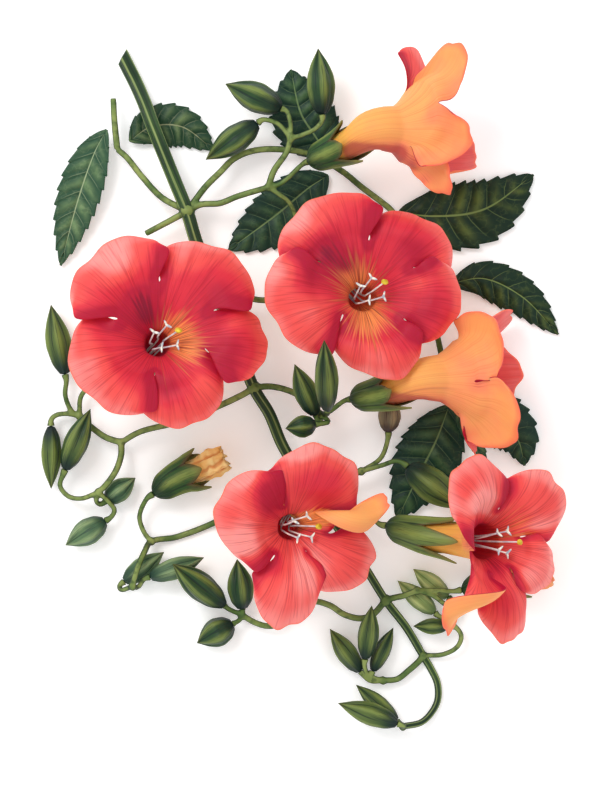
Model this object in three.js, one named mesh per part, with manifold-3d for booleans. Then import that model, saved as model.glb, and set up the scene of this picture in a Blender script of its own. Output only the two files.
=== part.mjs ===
// A cut flowering spray of trumpet vine, laid down on a flat surface.
// Millimetres. The surface is the plane z = 0, +Y runs up the spray towards the cut end,
// and the open flowers face +Z or lean towards +X.

import * as THREE from "three";
import { mergeVertices } from "three/addons/utils/BufferGeometryUtils.js";
import Module from "manifold-3d";

const wasm = await Module();
wasm.setup();

// ---------------------------------------------------------------- driving dimensions

const petalThickness = 0.8;
const sepalThickness = 0.9;
const leafThickness = 0.8;
const joinGap = 0.35; // between a stalk's end and what it carries
const stemRadius = 2.75; // main stem at the cut end
const stalkRadius = 1.3; // branches that carry several flowers
const stalkEndRadius = 1.2;
const budStalkRadius = 1.0;
const filamentRadius = 0.45;

const columnsPerLobe = 4; // of a corolla
const rowsPerLobe = 4;
const sepalCount = 5;
const budRibs = 5;
const toothPairs = 7; // along each edge of a leaflet
const sides = { stem: 7, branch: 5, ovary: 5, budStalk: 4, filament: 3 };

// Distances are from the flower's base, along its tube.
const tube = {
  foot: 4.5, // where the corolla starts
  neck: { from: 2, to: 18, radius: 2.1 }, // it widens from the neck to the waist
  waist: { at: 20, radius: 5.2 }, // and from the waist to the throat
  stops: [16, 24], // rings between the foot and the throat
  lastStraight: 8, // length of the tube that runs straight to the throat
  flareReach: 22, // from the throat's middle to where the funnel is fully spread
};
const cup = {
  bottom: 0.5,
  bowl: { at: 5, radius: 4.9 },
  rim: { at: 16, radius: 6.8 },
  ribs: [0.25, -0.15], // how far a rib stands out and a groove in
  tipAt: 31, // where the sepals end
  tipToThroat: 6.5, // but no nearer the throat than this
  shoulder: { beforeTip: 7, aside: 22, radius: 7.1 },
  tipRadius: 7.6,
  clearance: 2.2, // from the tube's surface to a sepal's shoulder
  tipSpread: 0.9, // and how much more at the tip
};
const lobeShape = {
  edgeTaper: 0.38, // how much shorter a lobe is along its two edges
  taperPower: 2.4,
  cornerInset: 0.2, // how far its corners draw in
};

// ---------------------------------------------------------------- colours

const colours = {
  stem: "#5f7f3c",
  calyx: "#4c6b32",
  petal: "#e24a48",
  petalBack: "#f0a25c",
  openingPetal: "#eead55",
  stamen: "#e6dfc2",
  bud: "#4f7038",
  paleBud: "#93a862",
  leaf: "#26472f",
  paleLeaf: "#6f8f62",
};

const finish = (colour, roughness) =>
  new THREE.MeshStandardMaterial({ color: colour, roughness, metalness: 0 });

// ---------------------------------------------------------------- small helpers

const radians = THREE.MathUtils.degToRad;
const mix = THREE.MathUtils.lerp;
const smooth = (x) => THREE.MathUtils.smoothstep(x, 0, 1);
const vector = ([x, y, z]) => new THREE.Vector3(x, y, z);

function bodyFrom(points, triangles) {
  const geometry = new THREE.BufferGeometry();
  const flat = points.flatMap((p) => [p.x, p.y, p.z]);
  geometry.setAttribute("position", new THREE.Float32BufferAttribute(flat, 3));
  geometry.setIndex(triangles.flat());
  return geometry;
}

function toSolid(geometry) {
  const bare = geometry.clone();
  bare.deleteAttribute("normal");
  bare.deleteAttribute("uv");
  const merged = mergeVertices(bare);
  const vertProperties = new Float32Array(merged.attributes.position.array);
  const triVerts = new Uint32Array(merged.index.array);
  return new wasm.Manifold(new wasm.Mesh({ numProp: 3, vertProperties, triVerts }));
}

function joined(geometries) {
  const solid = geometries.map(toSolid).reduce((all, next) => all.add(next));
  const mesh = solid.getMesh();
  const geometry = new THREE.BufferGeometry();
  geometry.setAttribute("position", new THREE.BufferAttribute(mesh.vertProperties, 3));
  geometry.setIndex(new THREE.BufferAttribute(mesh.triVerts, 1));
  return geometry;
}

// Gives a sheet its thickness: both faces keep the sheet's own triangles, and the open
// edges are walled. The sheet's triangles face outwards.
function thickened(points, triangles, thickness) {
  const normals = points.map(() => new THREE.Vector3());
  const corner = new THREE.Triangle();
  const areaNormal = new THREE.Vector3();
  for (const [a, b, c] of triangles) {
    corner.set(points[a], points[b], points[c]);
    corner.getNormal(areaNormal).multiplyScalar(corner.getArea());
    [a, b, c].forEach((i) => normals[i].add(areaNormal));
  }
  normals.forEach((n) => n.normalize());

  const half = thickness / 2;
  const outer = points.map((p, i) => p.clone().addScaledVector(normals[i], half));
  const inner = points.map((p, i) => p.clone().addScaledVector(normals[i], -half));
  const shift = points.length;
  const faces = [];
  const edges = new Map();
  for (const [a, b, c] of triangles) {
    faces.push([a, b, c], [c + shift, b + shift, a + shift]);
    for (const [from, to] of [[a, b], [b, c], [c, a]]) {
      edges.set(`${from},${to}`, [from, to]);
    }
  }
  for (const [from, to] of edges.values()) {
    if (!edges.has(`${to},${from}`)) {
      faces.push([to, from, from + shift], [to, from + shift, to + shift]);
    }
  }
  return bodyFrom([...outer, ...inner], faces);
}

// Two triangles for each cell between two rows of point numbers.
function strip(rowA, rowB, triangles) {
  for (let i = 0; i + 1 < rowA.length; i += 1) {
    triangles.push([rowA[i], rowA[i + 1], rowB[i + 1]], [rowA[i], rowB[i + 1], rowB[i]]);
  }
}

// ---------------------------------------------------------------- stalks

// A low-sided tube with a ring at each point of its route. A flat side faces down, and a
// ring is never lower than where that side lies on the surface.
function stalk(route, startRadius, endRadius, sideCount) {
  const restFactor = Math.cos(Math.PI / sideCount);
  const last = route.length - 1;
  const radiusAt = (i) => mix(startRadius, endRadius, i / last);
  const centres = route.map((p, i) => {
    const centre = vector(p);
    centre.z = Math.max(centre.z, radiusAt(i) * restFactor);
    return centre;
  });
  const up = new THREE.Vector3(0, 0, 1);
  const points = [];
  let side = null;
  centres.forEach((centre, i) => {
    const before = centres[Math.max(i - 1, 0)];
    const after = centres[Math.min(i + 1, last)];
    const along = after.clone().sub(before).normalize();
    if (side === null || Math.abs(along.z) < 0.8) {
      side = along.clone().cross(up).normalize();
    } else {
      side.addScaledVector(along, -side.dot(along)).normalize();
    }
    const lift = side.clone().cross(along);
    for (let k = 0; k < sideCount; k += 1) {
      const angle = ((k + 0.5) / sideCount) * 2 * Math.PI - Math.PI / 2;
      points.push(
        centre
          .clone()
          .addScaledVector(side, radiusAt(i) * Math.cos(angle))
          .addScaledVector(lift, radiusAt(i) * Math.sin(angle)),
      );
    }
  });
  const triangles = [];
  for (let i = 0; i < last; i += 1) {
    for (let k = 0; k < sideCount; k += 1) {
      const a = i * sideCount + k;
      const b = i * sideCount + ((k + 1) % sideCount);
      triangles.push([a, b + sideCount, b], [a, a + sideCount, b + sideCount]);
    }
  }
  const end = last * sideCount;
  for (let k = 1; k + 1 < sideCount; k += 1) {
    triangles.push([0, k, k + 1], [end, end + k + 1, end + k]);
  }
  return bodyFrom(points, triangles);
}

function swelling([x, y, z], radius) {
  const shape =
    radius > 2 ? new THREE.IcosahedronGeometry(radius) : new THREE.OctahedronGeometry(radius);
  return shape.translate(x, y, Math.max(z, radius));
}

// ---------------------------------------------------------------- buds

// base: where the stalk meets it. width: the greatest. A bud is a closed calyx with ribs.
const buds = {
  bud_01: { base: [-7.5, 107, 13.5], tip: [-29, 116.5, 14], width: 11.4 },
  bud_02: { base: [-16.5, 101.5, 14], tip: [-36.5, 87.5, 13], width: 10.6 },
  bud_03: { base: [8, 104.5, 15], tip: [6.5, 130, 15], width: 11 },
  bud_04: { base: [-90.5, 5.5, 6], tip: [-96, 32.5, 6], width: 9.8 },
  bud_05: { base: [-96, -14, 5], tip: [-96, -38.5, 4.6], width: 8 },
  bud_06: { base: [-90.5, -31, 7], tip: [-80.5, -7.5, 11], width: 9.5 },
  bud_07: { base: [-75, -43, 5], tip: [-63.5, -34, 5], width: 8.6 },
  bud_08: { base: [-75, -50.5, 6], tip: [-90.5, -60, 5.6], width: 10 },
  bud_09: { base: [-68, -74, 4.8], tip: [-52.5, -62.5, 4.4], width: 8.4 },
  bud_10: { base: [-58, -72, 9], tip: [-37, -64.5, 8], width: 8.4 },
  bud_11: { base: [-29.5, -83, 6.5], tip: [-49, -66.5, 18], width: 11 },
  bud_12: { base: [-26, -90, 6], tip: [-40, -97.5, 6], width: 11 },
  bud_13: { base: [-22.5, -84.5, 6], tip: [-24.5, -65, 9], width: 10 },
  bud_14: { base: [24.5, -103.5, 8.5], tip: [27, -82.5, 14], width: 8 },
  bud_15: { base: [23, -108.5, 5], tip: [11, -92, 5], width: 8 },
  bud_16: { base: [27.5, -108.5, 4.5], tip: [35.5, -91.5, 4], width: 6.4 },
  bud_17: { base: [37, -127.5, 4], tip: [21, -113.5, 4], width: 7 },
  bud_18: { base: [37, -128, 12], tip: [14, -120, 12], width: 8.8 },
  bud_19: { base: [51.5, -86, 4.5], tip: [37, -73.5, 4.2], width: 7.6, pale: true },
  bud_20: { base: [56.5, -80, 4.6], tip: [43, -69, 4], width: 7.6, pale: true },
  bud_21: { base: [56.5, -91, 6], tip: [43, -91, 5.5], width: 6.2 },
  bud_22: { base: [40.5, -29.5, 13], tip: [62.5, -46, 13], width: 12.6 },
  bud_23: { base: [33.5, -16.5, 6], tip: [34, -2.5, 9], width: 9 },
  bud_24: { base: [10, -8, 27.5], tip: [8.5, 18, 66], width: 9 },
  bud_25: { base: [5.5, -10, 18], tip: [-2.5, 9.5, 24], width: 9 },
  bud_26: { base: [5.5, -13.5, 19], tip: [-6, -15, 22], width: 8.6 },
};

function budBody({ base, tip, width }) {
  const start = vector(base);
  const along = vector(tip).sub(start);
  const length = along.length();
  const turn = new THREE.Quaternion().setFromUnitVectors(
    new THREE.Vector3(0, 0, 1),
    along.clone().normalize(),
  );
  const outline = [
    [0, 0.3],
    [0.16, 0.78],
    [0.42, 1],
    [0.78, 0.58],
  ]; // share of the length, share of half the width
  const ribFactors = [1.06, 0.92]; // on a rib and in a groove
  const columns = budRibs * 2;
  const points = [];
  for (const [share, swell] of outline) {
    for (let k = 0; k < columns; k += 1) {
      const rib = share > 0 ? ribFactors[k % 2] : 1;
      const radius = (width / 2) * swell * rib;
      const angle = (k / columns) * 2 * Math.PI;
      const ring = new THREE.Vector3(Math.cos(angle), Math.sin(angle), 0);
      ring.multiplyScalar(radius).setZ(share * length);
      points.push(ring.applyQuaternion(turn).add(start));
    }
  }
  points.push(start.clone(), vector(tip));
  const triangles = [];
  for (let row = 0; row + 1 < outline.length; row += 1) {
    for (let k = 0; k < columns; k += 1) {
      const a = row * columns + k;
      const b = row * columns + ((k + 1) % columns);
      triangles.push([a, b, b + columns], [a, b + columns, a + columns]);
    }
  }
  const top = (outline.length - 1) * columns;
  for (let k = 0; k < columns; k += 1) {
    const next = (k + 1) % columns;
    triangles.push([points.length - 2, next, k], [points.length - 1, top + k, top + next]);
  }
  return bodyFrom(points, triangles);
}

// ---------------------------------------------------------------- flowers

// base: where the stalk meets the calyx. bend: where the tube's middle lies. throat: the
// middle of the tube's mouth. facing: the way the mouth looks. zero: the direction that
// lobe angles are measured from, anticlockwise as seen from in front of the flower.
// flare: how far the funnel runs on past the throat. sepalReach: where the sepals end, if
// nearer than usual. sinuses: angle and distance from the throat of each notch between two
// lobes. lobes: each from one notch to the next, with its direction, length beyond the
// notches, half width, the slope of its tip, and the lift of its clockwise and
// anticlockwise edges. Some have a start slope of their own, a twist about their middle,
// or a roll that turns the blade over on its clockwise edge.
const flowers = {
  flower_left: {
    base: [-73.5, 4.5, 10],
    bend: [-63, 9, 22],
    throat: [-54, 17, 38],
    facing: [0.08, 0.12, 1],
    zero: [1, 0, 0],
    throatRadius: 5,
    flare: 9,
    sinuses: [[89, 22], [152, 17], [265, 11.5], [351, 17.5], [389, 23.5]],
    lobes: [
      { toward: 123, length: 21.5, width: 25, tip: -30, lifts: [1.7, 1.7] },
      { toward: 210, length: 19.5, width: 26, tip: -25, lifts: [-1.7, 1.7] },
      { toward: 296, length: 20, width: 21, tip: -30, lifts: [-1.7, -1.7] },
      { toward: 358, length: 21, width: 17.5, tip: -30, lifts: [1.7, -1.7] },
      { toward: 54, length: 21, width: 24, tip: -30, lifts: [1.7, -1.7] },
    ],
    stamenLean: 25,
  },
  flower_centre: {
    base: [1.5, 56.5, 10],
    bend: [10, 47, 21],
    throat: [23, 34.5, 36.5],
    facing: [0.1, 0.12, 1],
    zero: [1, 0, 0],
    throatRadius: 5.5,
    sepalReach: 26,
    flare: 9,
    sinuses: [[86, 20], [145, 20], [223, 10.5], [328, 17], [389, 20.5]],
    lobes: [
      { toward: 120, length: 20, width: 25, tip: -25, lifts: [1.7, -1.7] },
      { toward: 190, length: 21, width: 24, tip: -28, lifts: [1.7, 0.4] },
      { toward: 283, length: 19, width: 20, tip: -34, lifts: [-2.4, 1.7] },
      { toward: 354, length: 17.5, width: 19, tip: -32, lifts: [-1.7, 1.7] },
      { toward: 46, length: 19.5, width: 21, tip: -40, lifts: [-1.7, -1.7] },
    ],
    stamenLean: 30,
  },
  flower_lower: {
    base: [8, -29, 10],
    bend: [3.5, -37, 21],
    throat: [-4, -52, 35],
    facing: [0.25, -0.1, 1],
    zero: [1, 0, 0],
    throatRadius: 5,
    flare: 9,
    sinuses: [[112, 9], [232, 12], [300, 9.5], [352, 13], [392, 9.5]],
    lobes: [
      { toward: 160, length: 23, width: 21, start: 48, tip: -40, lifts: [1, 1] },
      { toward: 262, length: 27, width: 15, tip: -25, lifts: [-1.6, 1.6] },
      { toward: 325, length: 22.5, width: 17, tip: -25, lifts: [-1.6, -1.6] },
      { toward: 30, length: 26, width: 7, tip: 0, lifts: [1.6, 1.6], roll: 140 },
      { toward: 64, length: 25, width: 21, tip: -25, lifts: [-1.6, -1.6] },
    ],
    stamenLean: 10,
  },
  flower_top: {
    base: [2.5, 86.5, 17],
    bend: [18, 92.5, 28],
    throat: [35, 97.5, 34],
    facing: [0.9, 0, -0.38],
    zero: [0, 0, 1],
    throatRadius: 8.5,
    sepalReach: 25.5,
    flare: 9,
    sinuses: [[-24, 22], [38, 10.5], [100, 12], [165, 13], [255, 15]],
    lobes: [
      { toward: 14, length: 16, width: 12.5, start: 50, tip: 32, lifts: [-1.4, -1.4] },
      { toward: 60, length: 20, width: 10.5, start: 48, tip: 30, lifts: [1.4, 1.4], twist: 10 },
      { toward: 140, length: 33, width: 19, start: 82, tip: 108, lifts: [1.4, 1.4] },
      { toward: 244, length: 20, width: 17, start: 50, tip: 25, lifts: [-1.4, -1.4], twist: 10 },
      { toward: 298, length: 19.5, width: 14, start: 38, tip: 20, lifts: [1.4, 1.4], twist: -10 },
    ],
    stamenLean: 180,
    showsBack: true,
  },
  flower_right: {
    base: [18.5, -4, 20],
    bend: [35, -0.5, 29],
    throat: [52, 4, 34.5],
    facing: [0.92, 0.05, -0.33],
    zero: [0, 0, 1],
    throatRadius: 8.5,
    sepalReach: 27,
    flare: 12,
    sinuses: [[-85, 13], [8, 14.5], [90, 13], [152, 13], [212, 14]],
    lobes: [
      { toward: -42, length: 17, width: 17, start: 36, tip: 5, lifts: [1.4, -1.4], twist: -22 },
      { toward: 50, length: 21, width: 19, start: 45, tip: 36, lifts: [1.4, -1.4] },
      { toward: 110, length: 20, width: 10, start: 34, tip: 26, lifts: [1.4, 1.4], twist: -30 },
      { toward: 180, length: 30, width: 15, start: 90, tip: 106, lifts: [1.4, 1.4] },
      { toward: 232, length: 32, width: 18, start: 70, tip: 62, lifts: [-1.4, 1.4], twist: 5 },
    ],
    stamenLean: 180,
    showsBack: true,
  },
  flower_low_right: {
    base: [32, -52, 16],
    bend: [51, -56, 24],
    throat: [69, -57.5, 33],
    facing: [0.55, 0, 0.83],
    zero: [0, 0, 1],
    throatRadius: 7,
    flare: 11,
    sinuses: [[18, 11], [80, 12], [126, 12], [188, 12], [262, 12]],
    lobes: [
      { toward: 84, length: 29, width: 9, start: 5, tip: -5, lifts: [1.4, 1.4], roll: 155 },
      { toward: 96, length: 26, width: 13, start: 35, tip: -15, lifts: [-1.4, -1.4] },
      { toward: 150, length: 16, width: 13, start: 40, tip: -20, lifts: [1.4, 1.4] },
      { toward: 220, length: 23, width: 18, start: 40, tip: -15, lifts: [-1.4, -1.4] },
      { toward: 298, length: 24, width: 16, start: 42, tip: -45, lifts: [1.4, 1.4] },
    ],
    stamenLean: 180,
  },
};

// Where a flower's tube runs, with a frame at each share of its length. The frames are
// carried back from the mouth, so that columns of the tube stay straight.
function tubeLine({ base, bend, throat, facing, zero }) {
  const mouthNormal = vector(facing).normalize();
  const lead = vector(throat).addScaledVector(mouthNormal, -tube.lastStraight);
  const stops = [vector(base), vector(bend), lead, vector(throat)];
  const curve = new THREE.CatmullRomCurve3(stops);
  curve.curveType = "centripetal";
  const steps = 40;
  const frames = [];
  let across = vector(zero);
  for (let i = steps; i >= 0; i -= 1) {
    const along = i === steps ? mouthNormal.clone() : curve.getTangentAt(i / steps);
    across = across.clone().addScaledVector(along, -across.dot(along)).normalize();
    frames[i] = { along, across, third: along.clone().cross(across) };
  }
  return {
    length: curve.getLength(),
    at(distance, angle, radius) {
      const share = THREE.MathUtils.clamp(distance / curve.getLength(), 0, 1);
      const beyond = distance - share * curve.getLength();
      const { along, across: first, third } = frames[Math.round(share * steps)];
      return curve
        .getPointAt(share)
        .addScaledVector(along, beyond)
        .addScaledVector(first, radius * Math.cos(radians(angle)))
        .addScaledVector(third, radius * Math.sin(radians(angle)));
    },
    mouth: frames[steps],
  };
}

// Half width of the corolla tube at a distance from the flower's base.
function tubeRadius(distance, length, throatRadius) {
  const { neck, waist } = tube;
  const belowWaist = smooth((distance - neck.from) / (neck.to - neck.from));
  const aboveWaist = smooth((distance - waist.at) / (length - waist.at));
  return mix(mix(neck.radius, waist.radius, belowWaist), throatRadius, aboveWaist);
}

// The corolla's columns: the angle of each, and its reach at the ring of notches.
function corollaColumns({ sinuses, lobes }) {
  return lobes.flatMap((lobe, i) => {
    const [startAngle, startReach] = sinuses[i];
    const [endAngle, endReach] = sinuses[(i + 1) % sinuses.length];
    const turnOn = endAngle < startAngle ? 360 : 0;
    return Array.from({ length: columnsPerLobe }, (_, k) => {
      const share = k / columnsPerLobe;
      return {
        angle: mix(startAngle, endAngle + turnOn, share),
        reach: mix(startReach, endReach, share) + Math.sin(Math.PI * share),
      };
    });
  });
}

// The funnel between the throat and the notches: it opens steeply and then levels out.
function funnelOf({ throat, throatRadius, flare }, { along, across, third }) {
  const run = tube.flareReach - throatRadius;
  const left = (reach) => 1 - (reach - throatRadius) / run;
  return {
    slope: (reach) => Math.atan2(2 * flare * left(reach), run),
    at: (angle, reach) =>
      vector(throat)
        .addScaledVector(along, flare * (1 - left(reach) ** 2))
        .addScaledVector(across, reach * Math.cos(radians(angle)))
        .addScaledVector(third, reach * Math.sin(radians(angle))),
  };
}

// The directions of a lobe: outwards along it, sideways over it, and the flower's own axis.
function lobeFrame({ toward }, { along, across, third }) {
  const outward = across
    .clone()
    .multiplyScalar(Math.cos(radians(toward)))
    .addScaledVector(third, Math.sin(radians(toward)));
  return { along, outward, sideways: along.clone().cross(outward) };
}

// A point of a lobe, from the throat's middle. v runs from the notches to the rim, and w
// from the clockwise edge, -1, to the other edge, 1. The blade starts at the point start
// with its own slope and bends evenly to the slope of its tip. edge is where its clockwise
// edge starts.
function lobePoint(lobe, { along, outward, sideways }, { start, edge, slope }, w, v) {
  const from = lobe.start ? radians(lobe.start) : slope;
  const bend = radians(lobe.tip) - from;
  const now = from + bend * v;
  const length = lobe.length * (1 - lobeShape.edgeTaper * Math.abs(w) ** lobeShape.taperPower);
  const forward = ((Math.sin(now) - Math.sin(from)) / bend) * length;
  const rise = ((Math.cos(from) - Math.cos(now)) / bend) * length;

  const open = smooth(v);
  const corner = 1 - lobeShape.cornerInset * smooth(v * 2 - 1) * Math.abs(w) ** 3;
  const lateral = mix(start.dot(sideways), w * lobe.width, open) * corner;
  const hinge = mix(edge.dot(sideways), -lobe.width, open) * (1 - v / 10);
  const arm = lateral - hinge;

  const edgeLift = (w < 0 ? lobe.lifts[0] : lobe.lifts[1]) * Math.abs(w) ** 1.5 * smooth(v * 3);
  const roll = radians(lobe.roll || 0) * smooth(v * 1.1);
  const twist = radians(lobe.twist || 0) * smooth(v * 1.5);
  const lift = edgeLift + arm * Math.sin(roll) - lateral * Math.sin(twist);
  const aside = hinge + arm * Math.cos(roll) - lateral * (1 - Math.cos(twist));
  return new THREE.Vector3()
    .addScaledVector(outward, start.dot(outward) + forward - lift * Math.sin(now))
    .addScaledVector(along, start.dot(along) + rise + lift * Math.cos(now))
    .addScaledVector(sideways, aside);
}

function corollaBody(flower) {
  const line = tubeLine(flower);
  const funnel = funnelOf(flower, line.mouth);
  const columns = corollaColumns(flower);
  const middle = vector(flower.throat);
  const points = [];
  const triangles = [];
  const put = (point) => points.push(point) - 1;

  const lastStop = tube.stops[tube.stops.length - 1];
  const tubeStops = [tube.foot, ...tube.stops, mix(lastStop, line.length, 0.5), line.length];
  const rings = tubeStops.map((distance) => {
    const radius = tubeRadius(distance, line.length, flower.throatRadius);
    return columns.map(({ angle }) => put(line.at(distance, angle, radius)));
  });
  for (const share of [0.45, 1]) {
    rings.push(
      columns.map(({ angle, reach }) =>
        put(funnel.at(angle, mix(flower.throatRadius, reach, share))),
      ),
    );
  }
  for (let i = 0; i + 1 < rings.length; i += 1) {
    strip([...rings[i], rings[i][0]], [...rings[i + 1], rings[i + 1][0]], triangles);
  }

  const notchRing = rings[rings.length - 1];
  flower.lobes.forEach((lobe, i) => {
    const frame = lobeFrame(lobe, line.mouth);
    const numbers = Array.from(
      { length: columnsPerLobe + 1 },
      (_, k) => (i * columnsPerLobe + k) % columns.length,
    );
    const roots = numbers.map((number) => ({
      start: points[notchRing[number]].clone().sub(middle),
      edge: points[notchRing[numbers[0]]].clone().sub(middle),
      slope: funnel.slope(columns[number].reach),
    }));
    let previous = numbers.map((number) => notchRing[number]);
    for (let row = 1; row <= rowsPerLobe; row += 1) {
      const next = roots.map((root, k) => {
        const w = (k / columnsPerLobe) * 2 - 1;
        return put(lobePoint(lobe, frame, root, w, row / rowsPerLobe).add(middle));
      });
      strip(previous, next, triangles);
      previous = next;
    }
  });
  return thickened(points, triangles, petalThickness);
}

// A cup round the foot of the corolla, with five pointed teeth.
function calyxBody(flower) {
  const line = tubeLine(flower);
  const columns = sepalCount * 2;
  const points = [line.at(cup.bottom, 0, 0)];
  const triangles = [];
  const put = (point) => points.push(point) - 1;
  const rings = [cup.bowl, cup.rim].map(({ at, radius }) =>
    Array.from({ length: columns }, (_, k) =>
      put(line.at(at, (k / columns) * 360, radius + cup.ribs[k % 2])),
    ),
  );
  for (let k = 0; k < columns; k += 1) {
    triangles.push([0, rings[0][(k + 1) % columns], rings[0][k]]);
  }
  const [bowl, rim] = rings;
  strip([...bowl, bowl[0]], [...rim, rim[0]], triangles);

  const throatRadius = flower.throatRadius || tube.waist.radius;
  const outside = (distance) => tubeRadius(distance, line.length, throatRadius) + cup.clearance;
  const tipAt = Math.min(flower.sepalReach || cup.tipAt, line.length - cup.tipToThroat);
  const shoulderAt = tipAt - cup.shoulder.beforeTip;
  const shoulderRadius = Math.max(outside(shoulderAt), cup.shoulder.radius);
  const tipRadius = Math.max(outside(tipAt) + cup.tipSpread, cup.tipRadius);
  for (let sepal = 0; sepal < sepalCount; sepal += 1) {
    const k = sepal * 2;
    const angle = (k / columns) * 360;
    const root = [rim[(k + columns - 1) % columns], rim[k], rim[(k + 1) % columns]];
    const halfway = [-1, 0, 1].map((side) =>
      put(line.at(shoulderAt, angle + side * cup.shoulder.aside, shoulderRadius)),
    );
    strip(root, halfway, triangles);
    const tip = put(line.at(tipAt, angle, tipRadius));
    triangles.push([halfway[0], halfway[1], tip], [halfway[1], halfway[2], tip]);
  }
  return thickened(points, triangles, sepalThickness);
}

// angle: where a thread lies round the tube. reach: how far it leans out at its end. end:
// how far it stands out of the throat. tip: half size of its anther or stigma.
const threads = [
  { angle: -60, reach: 5.6, end: 5, tip: 0.9 },
  { angle: 60, reach: 5.2, end: 5.5, tip: 0.9 },
  { angle: -150, reach: 2.2, end: 7, tip: 0.9 },
  { angle: 150, reach: 2.6, end: 6.5, tip: 0.9 },
  { angle: 0, reach: 6.4, end: 8.5, tip: 1.2 },
];
const ovary = { from: 3.2, to: 8, radii: [1.2, 1] };

// Four filaments with their anthers and one style, all grown from the ovary.
function stamenBody(flower) {
  const line = tubeLine(flower);
  const lean = flower.stamenLean;
  const ovaryRoute = [ovary.from, ovary.to].map((distance) => line.at(distance, 0, 0).toArray());
  const parts = [stalk(ovaryRoute, ...ovary.radii, sides.ovary)];
  for (const { angle, reach, end, tip } of threads) {
    const turned = lean + angle;
    const top = line.at(line.length + end, lean + angle / 2, reach);
    const route = [
      line.at(ovary.to - 1, 0, 0),
      line.at(18, turned, 1.5),
      line.at(mix(24, line.length, 0.5), turned, 2),
      line.at(line.length, turned, 2.8),
      top,
    ].map((point) => point.toArray());
    parts.push(stalk(route, filamentRadius, filamentRadius, sides.filament));
    parts.push(new THREE.OctahedronGeometry(tip).translate(top.x, top.y, top.z));
  }
  return joined(parts);
}

// ---------------------------------------------------------------- opening flowers

// A flower that is only just opening: a slim calyx and a rolled corolla in it.
const openingFlowers = {
  opening_flower: {
    base: [-57, -40.5, 8],
    bend: [-47, -34, 8.5],
    throat: [-31, -27, 9.5],
    facing: [0.9, 0.42, 0.1],
    zero: [0, 0, 1],
  },
  half_open_bud: {
    base: [61, -77, 8.8],
    bend: [77, -74, 8.8],
    throat: [94, -70.5, 8.5],
    facing: [0.98, 0.15, 0],
    zero: [0, 0, 1],
  },
};

function rolledCorolla(flower) {
  const line = tubeLine(flower);
  const columns = 10;
  const foot = 3;
  const foldDepth = 0.7;
  const outline = [
    [foot, 2],
    [9, 3.8],
    [20, 4.6],
    [line.length - 2, 4.9],
    [line.length + 2, 3.9],
  ]; // distance from the base, half width
  const points = [];
  const triangles = [];
  outline.forEach(([distance, radius], row) => {
    for (let k = 0; k < columns; k += 1) {
      const side = k % 2 === 0 ? 1 : -1;
      const fold = row > 2 ? side * foldDepth : 0;
      points.push(line.at(distance, (k / columns) * 360, radius + fold));
    }
  });
  for (let row = 0; row + 1 < outline.length; row += 1) {
    const ring = Array.from({ length: columns }, (_, k) => row * columns + k);
    const next = ring.map((index) => index + columns);
    strip([...ring, ring[0]], [...next, next[0]], triangles);
  }
  const footPoint = points.push(line.at(foot, 0, 0)) - 1;
  const topPoint = points.push(line.at(line.length + 0.5, 0, 0)) - 1;
  const lastRow = (outline.length - 1) * columns;
  for (let k = 0; k < columns; k += 1) {
    const next = (k + 1) % columns;
    triangles.push([footPoint, next, k], [topPoint, lastRow + k, lastRow + next]);
  }
  return bodyFrom(points, triangles);
}

// ---------------------------------------------------------------- leaves

// midrib: from the foot to the tip. halfWidths: left and right of the way it runs.
// arch: how far the edges rise above the midrib.
const leaves = {
  leaf_upper_left: {
    midrib: [[-66, 95.3, 4], [-57.5, 101, 1.7], [-46, 101, 1.5], [-33.5, 92, 1.4]],
    halfWidths: [8.5, 9],
    arch: -0.5,
  },
  leaf_hanging: {
    midrib: [[-74.5, 99.5, 7], [-79, 91, 7], [-85.5, 73, 5], [-92.5, 47.5, 2]],
    halfWidths: [8.5, 9],
    arch: 1,
  },
  leaf_top: {
    midrib: [[10.8, 89.2, 1.7], [5, 98, 1.7], [0, 106, 1.7], [-4, 123, 1.4]],
    halfWidths: [13, 13],
    arch: -0.5,
  },
  leaf_middle: {
    midrib: [[10.5, 82.3, 1.8], [3, 77.5, 1.7], [-9, 67.5, 1.7], [-28, 53.5, 1.4]],
    halfWidths: [13, 11],
    arch: -0.5,
  },
  leaf_right: {
    midrib: [[37.5, 68.2, 3], [50, 66.5, 3.4], [70, 69, 3], [89.5, 82.5, 1.8]],
    halfWidths: [13, 14],
    arch: -1,
  },
  leaf_behind: {
    midrib: [[57.5, 40.5, 4], [70, 42.5, 3.5], [85, 35.5, 2.8], [99, 21, 2]],
    halfWidths: [8, 8.5],
    arch: -1.5,
  },
  leaf_lower: {
    midrib: [[57, -6, 5.5], [52, -19.5, 4.5], [44.5, -34.5, 3.6], [37, -50, 2.2]],
    halfWidths: [13, 13],
    arch: -1,
  },
  leaf_low_right: {
    midrib: [[61, -5.5, 4], [73.5, -11, 4], [83, -19, 3.5], [86, -29.5, 2]],
    halfWidths: [12, 10],
    arch: -1,
  },
  leaf_edge_on: {
    midrib: [[58.8, -7, 8.5], [62.5, -13.5, 10], [67.5, -22.5, 9.5], [71, -29.5, 8]],
    halfWidths: [4, 3],
    arch: 1,
    pale: true,
  },
};

const leafShape = {
  fullness: 3.05, // the outline's share of the half width is at most about 1
  footPower: 0.72,
  tipPower: 0.95,
  onTooth: { reach: 1.1, forward: 0.022 }, // forward: share of the leaflet's length
  between: { reach: 0.92, forward: -0.006 },
  leastReach: 0.5,
};

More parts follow.
